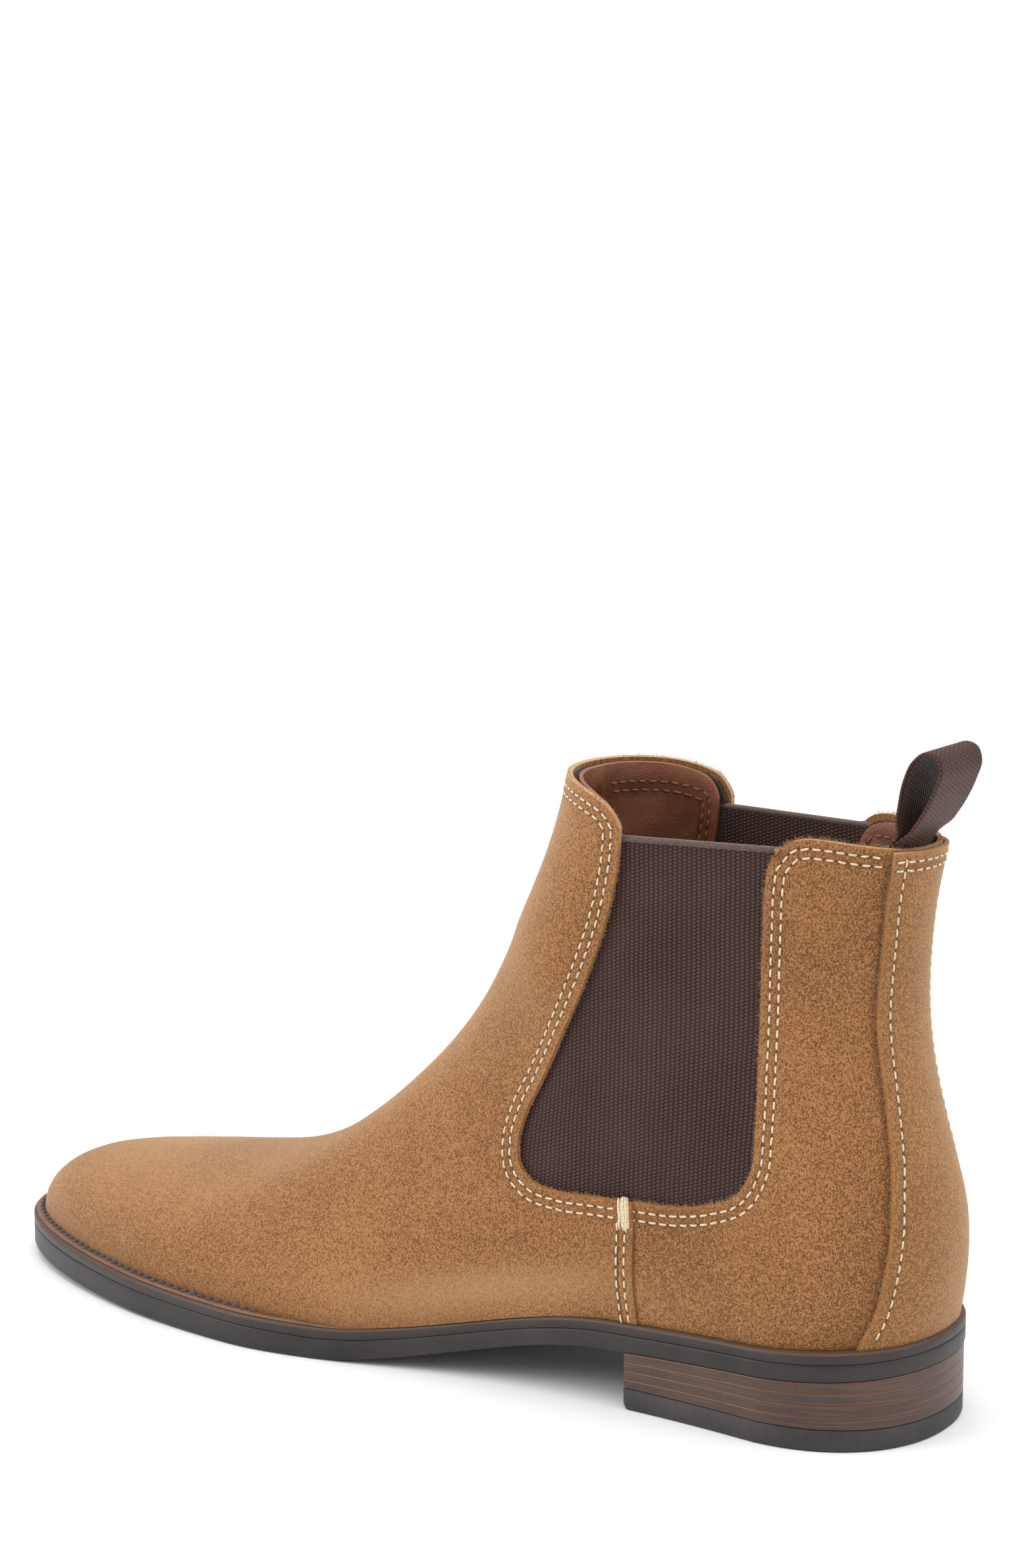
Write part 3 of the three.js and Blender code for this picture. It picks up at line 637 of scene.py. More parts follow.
def fibre_shapes(lines, seed, per_mm=7.0, length=1.5, width=0.038):
    """Stray fibres off a cut edge: thin three-sided spikes bent over once.

    A fibre has three rings of three points, narrowing, and a tip. lines hold (points,
    directions out of the edge, surface normals).
    """
    draw = np.random.default_rng(seed)
    count = 10
    ring = np.linspace(0, 2 * np.pi, 4)[:-1]
    narrowing = width * np.array([1, 0.85, 0.6])
    body = grid_faces(3, 3, wrap_cols=True, flip=True)
    tip = np.array([[6, 7, 9], [7, 8, 9], [8, 6, 9]])
    points, tris, quads, base = [], [], [], 0
    for line, away, normals in lines:
        total = np.linalg.norm(np.diff(line, axis=0), axis=1).sum()
        k = int(total * per_mm)
        at = draw.uniform(0, len(line) - 1.001, k)
        i = at.astype(int)
        w = (at - i)[:, None]
        p0 = line[i] * (1 - w) + line[i + 1] * w
        a = away[i] * (1 - w) + away[i + 1] * w
        n = normals[i] * (1 - w) + normals[i + 1] * w
        side = np.cross(a, n)
        size = length * draw.uniform(0.35, 1.0, (k, 1)) ** 1.3
        lean = draw.normal(0, 0.75, (k, 1))
        rise = draw.uniform(-0.1, 0.5, (k, 1))
        d1 = a + side * lean + n * rise
        d1 /= np.linalg.norm(d1, axis=1, keepdims=True)
        d2 = d1 + side * draw.normal(0, 0.6, (k, 1)) - n * 0.25
        d2 /= np.linalg.norm(d2, axis=1, keepdims=True)
        spine = np.stack([p0 - a * 0.2, p0 + d1 * size * 0.4,
                          p0 + d1 * size * 0.55 + d2 * size * 0.2,
                          p0 + d1 * size * 0.6 + d2 * size * 0.55], 1)
        round_it = (side[:, None, None] * np.cos(ring)[None, None, :, None]
                    + n[:, None, None] * np.sin(ring)[None, None, :, None])
        stem = spine[:, :3, None] + round_it * narrowing[None, :, None, None]
        p = np.concatenate([stem.reshape(k, count - 1, 3), spine[:, 3:4]], 1)
        points.append(p.reshape(-1, 3))
        shift = (base + count * np.arange(k))[:, None, None]
        quads.append((body[None] + shift).reshape(-1, 4))
        tris.append((tip[None] + shift).reshape(-1, 3))
        base += count * k
    quads = np.concatenate(quads)
    halves = np.concatenate([quads[:, [0, 1, 2]], quads[:, [0, 2, 3]]])
    return np.concatenate(points), np.concatenate([halves, np.concatenate(tris)])


# ---- sole slabs --------------------------------------------------------------------

def plan_loop(y0, y1, half, count=150, corner=0.0):
    """Closed plan outline, right side from front to back, then the left side forwards.

    With corner set, the front end is cut straight with corners of that radius; otherwise it
    closes round. Both sides share their y values, so facing points pair up. Returns the loop
    and the number of points down its right side.
    """
    front, bends = 12, 5
    if corner:
        face = np.linspace(0, 1, front + 1)[:-1]
        turn = np.linspace(0, np.pi / 2, bends + 1)[:-1]
        side_y = y0 + (y1 - corner - y0) * (1 - np.linspace(0, 1, count)) ** 2
        y = np.r_[np.full(front, y1), y1 - corner + corner * np.cos(turn), side_y]
    else:
        phi = np.linspace(0, np.pi, count)
        y = (y0 + y1) / 2 + (y1 - y0) / 2 * np.cos(phi)

    def widths(side):
        x = half(np.clip(y, y0 + 1e-3, y1 - 1e-3), side)
        if corner:
            full = float(half(np.array(y1 - corner), side))
            x = x.copy()
            x[:front] = face * (full - corner)
            x[front:front + bends] = full - corner + corner * np.sin(turn)
        x[0] = 0
        x[-1] = 0
        return x
    right = np.stack([widths(INNER), y], -1)
    left = np.stack([-widths(OUTER), y], -1)
    return np.concatenate([right, left[-2:0:-1]]), len(y)


def inward_of(line, direction):
    """Normals of a plan line from its direction, on the side where its middle lies."""
    d = direction / np.maximum(np.linalg.norm(direction, axis=1, keepdims=True), 1e-9)
    inward = np.stack([d[:, 1], -d[:, 0]], -1)
    if ((line.mean(0) - line) * inward).sum() < 0:
        inward = -inward
    return inward


def slab(name, plan, bottom, top, rings, look, slot, replaces, rims=None):
    """Solid over a plan outline, from rings (inset, face, dz) in order from below to above.

    A ring lies inset inside the outline, at height bottom(y) + dz or top(y) - dz. The first
    and last rings are closed by strips between facing points. rims gives each ring its share
    of the rim colour.
    """
    loop, half_count = plan
    inward = inward_of(loop, np.roll(loop, -1, 0) - np.roll(loop, 1, 0))
    stack = []
    for inset, face, dz in rings:
        p = loop + inward * inset
        stack.append(np.c_[p, bottom(p[:, 1]) + dz if face == "b" else top(p[:, 1]) - dz])
    count = len(loop)
    right = np.arange(half_count)
    left = (-right) % count
    cap = np.stack([right[:-1], left[:-1], left[1:], right[1:]], -1)
    faces = np.concatenate([grid_faces(len(rings), count, wrap_cols=True, flip=True), cap,
                            cap[:, ::-1] + (len(rings) - 1) * count])
    marks = {"rim": np.repeat(np.array(rims, float), count)} if rims else None
    piece = mesh_piece(name, np.array(stack), faces, look, "boot", slot, marks=marks,
                       replaces=replaces)
    close_mesh(piece)


def close_mesh(piece):
    """Merges doubled points, closes open ends and turns every face outwards."""
    solid = bmesh.new()
    solid.from_mesh(piece.data)
    bmesh.ops.remove_doubles(solid, verts=solid.verts, dist=1e-6)
    bmesh.ops.dissolve_degenerate(solid, edges=solid.edges, dist=1e-7)
    bmesh.ops.holes_fill(solid, edges=solid.edges, sides=0)
    bmesh.ops.recalc_face_normals(solid, faces=solid.faces)
    solid.to_mesh(piece.data)
    solid.free()


def bead(name, line, radius, look, slot, sides=10):
    """A round bead carried along a line, narrowed by (1 - u^40)^(1/2) and closed at its ends."""
    t = np.gradient(line, axis=0)
    t /= np.linalg.norm(t, axis=1, keepdims=True)
    n = np.array([0, 0, 1.0]) - t * t[:, 2:]
    n /= np.linalg.norm(n, axis=1, keepdims=True)
    b = np.cross(t, n)
    ring = np.linspace(0, 2 * np.pi, sides + 1)[:-1]
    size = radius * np.sqrt(np.clip(1 - np.linspace(-1, 1, len(line)) ** 40, 0.02, 1))
    p = line[:, None] + (b[:, None] * np.cos(ring)[None, :, None]
                         + n[:, None] * np.sin(ring)[None, :, None]) * size[:, None, None]
    faces = grid_faces(len(line), sides, wrap_cols=True, flip=True)
    close_mesh(mesh_piece(name, p, faces, look, "boot", slot))


# ---- finishes ----------------------------------------------------------------------

class Tree:
    """Short hand for adding and joining shader nodes in one node tree."""

    def __init__(self, nodes):
        self.t = nodes

    def join(self, output, socket):
        self.t.links.new(output, socket)

    def put(self, socket, value):
        """Sets a socket to a plain value, or joins it to another node's output."""
        if isinstance(value, bpy.types.NodeSocket):
            self.join(value, socket)
        else:
            socket.default_value = value

    def add(self, kind, inputs=None, **settings):
        n = self.t.nodes.new("ShaderNode" + kind)
        for key, value in settings.items():
            setattr(n, key, value)
        for key, value in (inputs or {}).items():
            self.put(n.inputs[key], value)
        return n

    def math(self, operation, a, b=0.0, clamp=False):
        return self.add("Math", {0: a, 1: b}, operation=operation, use_clamp=clamp).outputs[0]

    def mix(self, a, b, share):
        """Colour from a to b by a share."""
        return self.add("Mix", {0: share, 6: a, 7: b}, data_type="RGBA").outputs[2]

    def remap(self, value, low, high, to_low=0.0, to_high=1.0):
        n = self.add("MapRange", {0: value, 1: low, 2: high, 3: to_low, 4: to_high})
        return n.outputs[0]

    def noise(self, vector, scale, detail=2.0, rough=0.5):
        n = self.add("TexNoise", {"Vector": vector, "Scale": scale, "Detail": detail,
                                  "Roughness": rough})
        return n.outputs[0]

    def mark(self, name, share=1.0):
        """A mesh mark times a share, kept within 0 and 1."""
        value = self.add("Attribute", attribute_name=name).outputs["Fac"]
        return self.math("MULTIPLY", value, share, True)


def rgb(r, g, b):
    return (r, g, b, 1.0)


def group(name, inputs, outputs):
    """A shader node group with named sockets, ready to be filled."""
    nodes = bpy.data.node_groups.new(name, "ShaderNodeTree")
    kinds = {"F": "NodeSocketFloat", "C": "NodeSocketColor", "V": "NodeSocketVector"}
    for key, kind, default in inputs:
        socket = nodes.interface.new_socket(name=key, in_out="INPUT", socket_type=kinds[kind])
        if default is not None:
            socket.default_value = default
    for key, kind in outputs:
        nodes.interface.new_socket(name=key, in_out="OUTPUT", socket_type=kinds[kind])
    tree = Tree(nodes)
    return nodes, tree, nodes.nodes.new("NodeGroupInput"), nodes.nodes.new("NodeGroupOutput")


def finish_of(name, **principled):
    """A material with one Principled shader; plain values are set on its own sockets."""
    mat = bpy.data.materials.new(name)
    mat.use_nodes = True
    tree = Tree(mat.node_tree)
    mat.node_tree.nodes.clear()
    shader = tree.add("BsdfPrincipled")
    tree.add("OutputMaterial", {"Surface": shader.outputs[0]})
    for key, value in principled.items():
        shader.inputs[key.replace("_", " ")].default_value = value
    return mat, tree, shader


def place_group(tree, nodes, **values):
    """A group placed in a material, with its own values."""
    n = tree.add("Group", node_tree=nodes)
    for key, value in values.items():
        tree.put(n.inputs[key.replace("_", " ")], value)
    return n


def relief(tree, shader, height, distance, strength=1.0):
    """Feeds a height, of the given depth in metres, to the shader's normal."""
    bump = tree.add("Bump", {"Height": height, "Distance": distance, "Strength": strength})
    tree.join(bump.outputs[0], shader.inputs["Normal"])


def make_nap_group():
    """Suede nap: fine grains, short brushed streaks and broad soft patches of tone."""
    nodes, g, gin, gout = group(
        "suede_nap",
        [("Dark", "C", rgb(0.2, 0.1, 0.05)), ("Light", "C", rgb(0.6, 0.4, 0.2)),
         ("Grain", "F", 2900.0), ("Patch", "F", 22.0), ("Contrast", "F", 1.0)],
        [("Color", "C"), ("Height", "F")])
    coords = g.add("TexCoord").outputs["Object"]
    brushed = g.add("Mapping", {"Vector": coords, "Rotation": (0.5, 0.0, 0.0),
                                "Scale": (1.0, 1.0, 0.75)}).outputs[0]
    fine = g.noise(brushed, gin.outputs["Grain"], 2.0, 0.6)
    clump = g.noise(coords, g.math("MULTIPLY", gin.outputs["Grain"], 0.38), 2.0, 0.6)
    patch_noise = g.noise(coords, gin.outputs["Patch"], 3.0, 0.55)
    pores = g.noise(coords, g.math("MULTIPLY", gin.outputs["Grain"], 0.6), 1.0, 0.5)
    grains = g.math("ADD", g.math("MULTIPLY", fine, 0.74), g.math("MULTIPLY", clump, 0.26))
    share = g.math("ADD", g.remap(grains, 0.34, 0.66),
                   g.math("MULTIPLY", g.math("SUBTRACT", patch_noise, 0.5), 0.45))
    share = g.math("SUBTRACT", share, g.remap(pores, 0.62, 0.76, 0.0, 0.3))
    share = g.math("ADD", g.math("MULTIPLY", g.math("SUBTRACT", share, 0.5),
                                 gin.outputs["Contrast"]), 0.5, clamp=True)
    g.join(g.mix(gin.outputs["Dark"], gin.outputs["Light"], share), gout.inputs["Color"])
    g.join(grains, gout.inputs["Height"])
    return nodes


def make_leather_group():
    """Smooth leather: fine crossing creases with pores, and soft patches of dye."""
    nodes, g, gin, gout = group(
        "smooth_leather",
        [("Dark", "C", rgb(0.1, 0.03, 0.015)), ("Light", "C", rgb(0.3, 0.11, 0.05)),
         ("Grain", "F", 900.0)],
        [("Color", "C"), ("Height", "F"), ("Roughness", "F")])
    coords = g.add("TexCoord").outputs["Object"]
    cell = g.add("TexVoronoi", {"Vector": coords, "Scale": gin.outputs["Grain"]},
                 feature="DISTANCE_TO_EDGE").outputs[0]
    creases = g.remap(cell, 0.0, 0.25)
    soft = g.noise(coords, 60.0, 4.0, 0.6)
    fine = g.noise(coords, 2400.0, 2.0, 0.6)
    tone = g.math("ADD", g.math("MULTIPLY", soft, 0.8), g.math("MULTIPLY", fine, 0.25))
    colour = g.mix(gin.outputs["Dark"], gin.outputs["Light"], g.remap(tone, 0.3, 0.75))
    colour = g.mix(gin.outputs["Dark"], colour, g.remap(creases, 0.0, 1.0, 0.72, 1.0))
    g.join(colour, gout.inputs["Color"])
    g.join(g.math("ADD", creases, g.math("MULTIPLY", fine, 0.4)), gout.inputs["Height"])
    g.join(g.remap(soft, 0.3, 0.7, 0.38, 0.56), gout.inputs["Roughness"])
    return nodes


def make_weave_group():
    """Woven or knitted cloth on the laid UV map: warp ribs crossed by weft rows.

    Height is |sin| of both directions, the weft shifted half a step on every other rib.
    """
    nodes, g, gin, gout = group(
        "laid_weave",
        [("Rib", "F", 0.001), ("Row", "F", 0.0008), ("Row share", "F", 0.5),
         ("Dark", "C", rgb(0.02, 0.01, 0.01)), ("Light", "C", rgb(0.1, 0.06, 0.05))],
        [("Color", "C"), ("Height", "F")])
    uv = g.add("UVMap", uv_map="laid").outputs[0]
    split = g.add("SeparateXYZ", {0: uv})
    wobble = g.math("MULTIPLY", g.math("SUBTRACT", g.noise(uv, 90.0, 2.0), 0.5), 0.0007)
    u = g.math("DIVIDE", g.math("ADD", split.outputs[0], wobble), gin.outputs["Rib"])
    v = g.math("DIVIDE", g.math("ADD", split.outputs[1], wobble), gin.outputs["Row"])
    odd = g.math("MODULO", g.math("FLOOR", u), 2.0)
    v = g.math("ADD", v, g.math("MULTIPLY", odd, 0.5))
    rib = g.math("ABSOLUTE", g.math("SINE", g.math("MULTIPLY", u, np.pi)))
    row = g.math("ABSOLUTE", g.math("SINE", g.math("MULTIPLY", v, np.pi)))
    warp_share = g.math("SUBTRACT", 1.0, gin.outputs["Row share"])
    blend = g.math("ADD", g.math("MULTIPLY", rib, warp_share),
                   g.math("MULTIPLY", row, gin.outputs["Row share"]))
    fuzz = g.noise(uv, 2600.0, 2.0, 0.6)
    height = g.math("ADD", blend, g.math("MULTIPLY", fuzz, 0.35))
    tone = g.math("ADD", g.remap(height, 0.35, 1.15),
                  g.math("MULTIPLY", g.math("SUBTRACT", g.noise(uv, 45.0, 3.0), 0.5), 0.5), True)
    g.join(g.mix(gin.outputs["Dark"], gin.outputs["Light"], tone), gout.inputs["Color"])
    g.join(height, gout.inputs["Height"])
    return nodes


def make_rubber_group():
    """Moulded and buffed rubber: upright sanding marks, mottling and dusty scuffs."""
    nodes, g, gin, gout = group(
        "buffed_rubber",
        [("Dark", "C", rgb(0.02, 0.015, 0.015)), ("Light", "C", rgb(0.07, 0.055, 0.05)),
         ("Rough low", "F", 0.35), ("Rough high", "F", 0.6)],
        [("Color", "C"), ("Height", "F"), ("Roughness", "F")])
    coords = g.add("TexCoord").outputs["Object"]
    upright = g.add("Mapping", {"Vector": coords, "Scale": (1.0, 1.0, 0.12)}).outputs[0]
    marks = g.noise(upright, 900.0, 3.0, 0.6)
    mottle = g.noise(coords, 38.0, 4.0, 0.6)
    speck = g.noise(coords, 1900.0, 1.0)
    tone = g.math("ADD", g.math("MULTIPLY", marks, 0.2), g.math("MULTIPLY", mottle, 0.8))
    rough = g.remap(tone, 0.35, 0.75)
    g.join(g.mix(gin.outputs["Dark"], gin.outputs["Light"], rough), gout.inputs["Color"])
    g.join(g.math("ADD", marks, g.math("MULTIPLY", speck, 0.5)), gout.inputs["Height"])
    span = g.math("SUBTRACT", gin.outputs["Rough high"], gin.outputs["Rough low"])
    g.join(g.math("ADD", gin.outputs["Rough low"], g.math("MULTIPLY", rough, span)),
           gout.inputs["Roughness"])
    return nodes


NAP = make_nap_group()
LEATHER = make_leather_group()
WEAVE = make_weave_group()
RUBBER = make_rubber_group()


def suede_finish(name, dark, light, contrast):
    """Suede from its marks: painted shade low by the welt, a pale band over the waist with painted
    highlight on the toe and back strip, stitch channels darkened with painted shade, and raw orange
    edges."""
    mat, t, shader = finish_of(name, Roughness=0.96, Sheen_Weight=0.5, Sheen_Roughness=0.42,
                               Sheen_Tint=rgb(1.0, 0.8, 0.56), Specular_IOR_Level=0.12)
    nap = place_group(t, NAP, Dark=dark, Light=light, Contrast=contrast)
    colour = nap.outputs["Color"]
    # Painted light in the colour: tone is painted shade low by the welt, the pale mark a pale band
    # over the waist and painted highlight on the toe and back strip, the channel mark painted shade
    # in the stitch grooves; raw is the suede's own edge colour.
    for mark, share, shade in (("tone", 0.55, rgb(0.16, 0.075, 0.032)),
                               ("pale_nap_and_highlight", 0.5, rgb(0.5, 0.3, 0.145)),
                               ("channel_and_shade", 0.5, rgb(0.13, 0.055, 0.02)),
                               ("raw", 0.8, rgb(0.36, 0.155, 0.05))):
        colour = t.mix(colour, shade, t.mark(mark, share))
    t.join(colour, shader.inputs["Base Color"])
    height = t.math("SUBTRACT", nap.outputs["Height"], t.math("MULTIPLY", t.mark("channel_and_shade"), 1.1))
    relief(t, shader, height, 0.00032, 0.75)
    return mat


def cut_edge_finish(name):
    """Cut edge of the suede: fibrous orange brown, paler at the collar's top edge."""
    mat, t, shader = finish_of(name, Roughness=1.0, Specular_IOR_Level=0.1)
    nap = place_group(t, NAP, Dark=rgb(0.16, 0.06, 0.02), Light=rgb(0.46, 0.22, 0.085),
                      Grain=2200.0)
    height = t.add("SeparateXYZ", {0: t.add("TexCoord").outputs["Object"]}).outputs[2]
    paler = t.remap(height, 0.146, 0.153, 0.0, 0.6)
    t.join(t.mix(nap.outputs["Color"], rgb(0.56, 0.42, 0.24), paler), shader.inputs["Base Color"])
    relief(t, shader, nap.outputs["Height"], 0.0003, 0.8)
    return mat


def thread_finish(name, dark, light):
    """Twisted thread: fine fibre noise over its colour."""
    mat, t, shader = finish_of(name, Roughness=0.7, Sheen_Weight=0.2, Specular_IOR_Level=0.25)
    fibres = t.noise(t.add("TexCoord").outputs["Object"], 2600.0, 3.0, 0.65)
    t.join(t.mix(dark, light, t.remap(fibres, 0.35, 0.62)), shader.inputs["Base Color"])
    relief(t, shader, fibres, 0.0002, 0.6)
    return mat


def weave_finish(name, dark, light, rib, row, share, depth, rough=0.85):
    """Woven cloth: ribs and rows of the given widths in metres, the rows taking a share of the
    height."""
    mat, t, shader = finish_of(name, Roughness=rough, Sheen_Weight=0.12, Sheen_Roughness=0.4,
                               Sheen_Tint=rgb(0.7, 0.45, 0.38), Specular_IOR_Level=0.14)
    cloth = place_group(t, WEAVE, Dark=dark, Light=light, Rib=rib, Row=row, Row_share=share)
    t.join(cloth.outputs["Color"], shader.inputs["Base Color"])
    relief(t, shader, cloth.outputs["Height"], depth, 0.9)
    return mat


def leather_finish(name, dark, light, grain, depth):
    """Smooth leather, pressed in along its stitch channels and darkened there with painted shade."""
    mat, t, shader = finish_of(name, Specular_IOR_Level=0.45)
    skin = place_group(t, LEATHER, Dark=dark, Light=light, Grain=grain)
    # Painted shade: the colour darkens along the stitch channels.
    colour = t.mix(skin.outputs["Color"], rgb(0.05, 0.015, 0.006), t.mark("channel_and_shade", 0.6))
    t.join(colour, shader.inputs["Base Color"])
    t.join(skin.outputs["Roughness"], shader.inputs["Roughness"])
    pressed = t.math("MULTIPLY", t.mark("channel_and_shade"), 2.0)
    relief(t, shader, t.math("SUBTRACT", skin.outputs["Height"], pressed), depth, 0.6)
    return mat


def rubber_finish(name, dark, light, low, high, edge=None):
    """Buffed rubber of a roughness from low to high, with its rims stained where edge is set."""
    mat, t, shader = finish_of(name, Specular_IOR_Level=0.32)
    body = place_group(t, RUBBER, Dark=dark, Light=light, Rough_low=low, Rough_high=high)
    colour = body.outputs["Color"]
    if edge:
        colour = t.mix(colour, edge, t.mark("rim", 0.75))
    t.join(colour, shader.inputs["Base Color"])
    t.join(body.outputs["Roughness"], shader.inputs["Roughness"])
    relief(t, shader, body.outputs["Height"], 0.00006, 0.5)
    return mat


def stack_finish(name):
    """Stacked leather edge: dark polish over layers, lighter brown along each layer's rims."""
    mat, t, shader = finish_of(name, Specular_IOR_Level=0.4, Coat_Weight=0.08)
    body = place_group(t, RUBBER, Dark=rgb(0.042, 0.023, 0.018), Light=rgb(0.085, 0.05, 0.038),
                       Rough_low=0.34, Rough_high=0.5)
    flat = t.add("Mapping", {"Vector": t.add("TexCoord").outputs["Object"],
                             "Scale": (0.12, 0.12, 4.0)}).outputs[0]
    layers = t.remap(t.noise(flat, 420.0, 2.0, 0.5), 0.5, 0.75, 0.0, 0.45)
    colour = t.mix(body.outputs["Color"], rgb(0.15, 0.07, 0.04), layers)
    colour = t.mix(colour, rgb(0.26, 0.1, 0.04), t.mark("rim", 0.75))
    t.join(colour, shader.inputs["Base Color"])
    t.join(body.outputs["Roughness"], shader.inputs["Roughness"])
    relief(t, shader, body.outputs["Height"], 0.00006, 0.5)
    return mat


def nail_finish(name):
    """Drawn steel, its colour and roughness mottled."""
    mat, t, shader = finish_of(name, Metallic=1.0)
    body = place_group(t, RUBBER, Dark=rgb(0.3, 0.3, 0.3), Light=rgb(0.6, 0.6, 0.6),
                       Rough_low=0.25, Rough_high=0.5)
    t.join(body.outputs["Color"], shader.inputs["Base Color"])
    t.join(body.outputs["Roughness"], shader.inputs["Roughness"])
    return mat


def board_finish(name):
    """Pressed fibre board, mottled grey brown."""
    mat, t, shader = finish_of(name, Specular_IOR_Level=0.2, Roughness=0.9)
    nap = place_group(t, NAP, Dark=rgb(0.2, 0.15, 0.1), Light=rgb(0.45, 0.36, 0.26), Grain=700.0)
    t.join(nap.outputs["Color"], shader.inputs["Base Color"])
    relief(t, shader, nap.outputs["Height"], 0.0002, 0.5)
    return mat


suede = suede_finish("suede", rgb(0.125, 0.052, 0.019), rgb(0.375, 0.18, 0.073), 2.1)
cut_edge = cut_edge_finish("suede_cut_edge")
cream_thread = thread_finish("cream_thread", rgb(0.46, 0.33, 0.2), rgb(0.85, 0.7, 0.5))
tan_thread = thread_finish("tan_thread", rgb(0.14, 0.05, 0.016), rgb(0.34, 0.14, 0.05))
dark_thread = thread_finish("waxed_dark_thread", rgb(0.02, 0.014, 0.011), rgb(0.09, 0.06, 0.045))
fibre = thread_finish("suede_fibre", rgb(0.34, 0.17, 0.075), rgb(0.62, 0.38, 0.2))
# Needle holes: dark ovals painted as the shade inside the holes.
needle_hole_shade = thread_finish("needle_hole_shade", rgb(0.05, 0.02, 0.008), rgb(0.12, 0.052, 0.02))
elastic = weave_finish("gore_elastic", rgb(0.008, 0.0045, 0.004), rgb(0.09, 0.051, 0.043),
                       0.0013, 0.00095, 0.56, 0.0005)
selvedge = thread_finish("gore_selvedge", rgb(0.045, 0.026, 0.02), rgb(0.13, 0.082, 0.067))
webbing = weave_finish("tab_webbing", rgb(0.01, 0.0045, 0.004), rgb(0.088, 0.04, 0.032),
                       0.0013, 0.0011, 0.5, 0.0005, 0.55)
lining = leather_finish("lining_leather", rgb(0.125, 0.042, 0.022), rgb(0.37, 0.138, 0.07),
                        1100.0, 0.00008)
charcoal = weave_finish("interlining_cloth", rgb(0.012, 0.01, 0.01), rgb(0.07, 0.058, 0.052),
                        0.0007, 0.0007, 0.5, 0.00015)
sole_rubber = rubber_finish("sole_rubber", rgb(0.017, 0.0145, 0.0145), rgb(0.044, 0.038, 0.0375),
                            0.36, 0.55, rgb(0.11, 0.055, 0.03))
tip_rubber = rubber_finish("heel_tip_rubber", rgb(0.03, 0.026, 0.027), rgb(0.07, 0.062, 0.064),
                           0.5, 0.72)
welt_leather = leather_finish("welt_strip_leather", rgb(0.075, 0.034, 0.018),
                              rgb(0.24, 0.12, 0.062), 700.0, 0.0001)
stack_leather = stack_finish("stacked_leather")
steel = nail_finish("nail_steel")
board = board_finish("fibre_board")


# ---- upper -------------------------------------------------------------------------

def suede_marks(grid, edges):
    """Marks of a suede sheet from its distance to its stitched edges.

    The stitch-channel mark is a bell curve over each stitch row, a groove that also carries painted
    shade, and "raw" dies away from the cut edge.
    "tone" is painted shade, darkening the suede low by the welt; the pale mark is a pale band over
    the waist and a painted highlight over the top of the toe.
    """
    edge = distance_to(grid, np.concatenate(edges))
    # Stitch channels: a groove for the bump and painted shade in the colour.
    channel_and_shade = np.zeros(grid.shape[:2])
    for row in STITCH_ROWS:
        channel_and_shade = np.maximum(channel_and_shade, np.exp(-(((edge - row) / 0.42) ** 2)))
    y, z = grid[..., 1], grid[..., 2]
    over = z - feather(np.clip(y, 0, 300))
    # Painted shade: darker just above the welt, more so on the forefoot.
    tone = 0.75 * np.exp(-np.clip(over, 0, None) / 5.0) * (y > 120) \
        + 0.35 * np.exp(-np.clip(over, 0, None) / 2.5)
    # A pale band over the waist, and a painted highlight over the top of the toe.
    pale_nap_and_highlight = 0.85 * np.exp(-(((over - 9) / 6.5) ** 2)) * np.exp(-(((y - 118) / 42) ** 2)) \
        + 0.35 * np.exp(-(((y - 262) / 26) ** 2)) * smooth((z - 18) / 20)
    return {"channel_and_shade": channel_and_shade, "raw": np.exp(-edge / 0.35), "tone": tone, "pale_nap_and_highlight": pale_nap_and_highlight}


def vamp():
    """Vamp and front shaft: 0.75 mm proud along the seam, falling away smoothly over 8 mm."""
    grid = vamp_sheet()
    to_seam = np.minimum(distance_to(grid, side_points(SEAM, OUTER)),
                         distance_to(grid, side_points(SEAM, INNER)))
    grid = grid + outward(grid) * (0.75 * smooth(1 - to_seam / 8))[..., None]
    edges = []
    for side, _ in SIDES:
        edges += [side_points(GORE_EDGE[::4][SEAM_TOP // 4:], side),
                  side_points(FRONT_COLLAR[::3], side), side_points(SEAM, side)]
    sheet_piece("vamp_suede", grid, [suede, cut_edge], SUEDE, 0.35, "suede", ("vamp",),
                suede_marks(grid, edges))


def quarter(side, label):
    """One quarter, from the back line to the seam and the gore."""
    grid = quarter_sheet(side)
    edges = [side_points(GORE_EDGE[::4][:SEAM_TOP // 4], side),
             side_points(REAR_COLLAR[::3], side)]
    sheet_piece(f"quarter_{label}_suede", grid, [suede, cut_edge], SUEDE, 0.35, "suede",
                (f"quarter_{label}",), suede_marks(grid, edges))


STRIP_HALF = curve([(22, 26.4), (28, 26), (34, 24.5), (45, 22.7), (59, 20), (74, 16.3), (89, 14),
                    (108, 13.3), (127, 12.7), (138, 13), (151.5, 13.4)])


def facing_back(grid):
    """True where the cross product of a grid's rows and columns points to the heel's back."""
    return grid_normals(grid)[..., 1].sum() < 0


def strip_sheet(rows=110, cols=40, lift=1.6):
    """Back strip: across x from edge to edge, up z from the welt to the collar, lifted off the
    quarters. Returns its grid and its outward normals."""
    s = np.linspace(0, 1, rows)[:, None]
    spread = np.pi / 2 * 0.96
    u = np.sin(np.linspace(-1, 1, cols) * spread) / np.sin(spread)
    base = float(feather(heel_back))
    for _ in range(3):
        z = (base + FEATHER_GAP) * (1 - s) + COLLAR_BACK * s * np.ones(cols)
        x = u * STRIP_HALF(z)
        y = back_y(x, z)
        base = feather(y)
    grid = np.stack([x, y, z], -1)
    grid = grid + grid_normals(grid) * (lift if facing_back(grid) else -lift)
    out = grid_normals(grid)
    return grid, out if facing_back(grid) else -out


strip_grid, strip_out = strip_sheet()


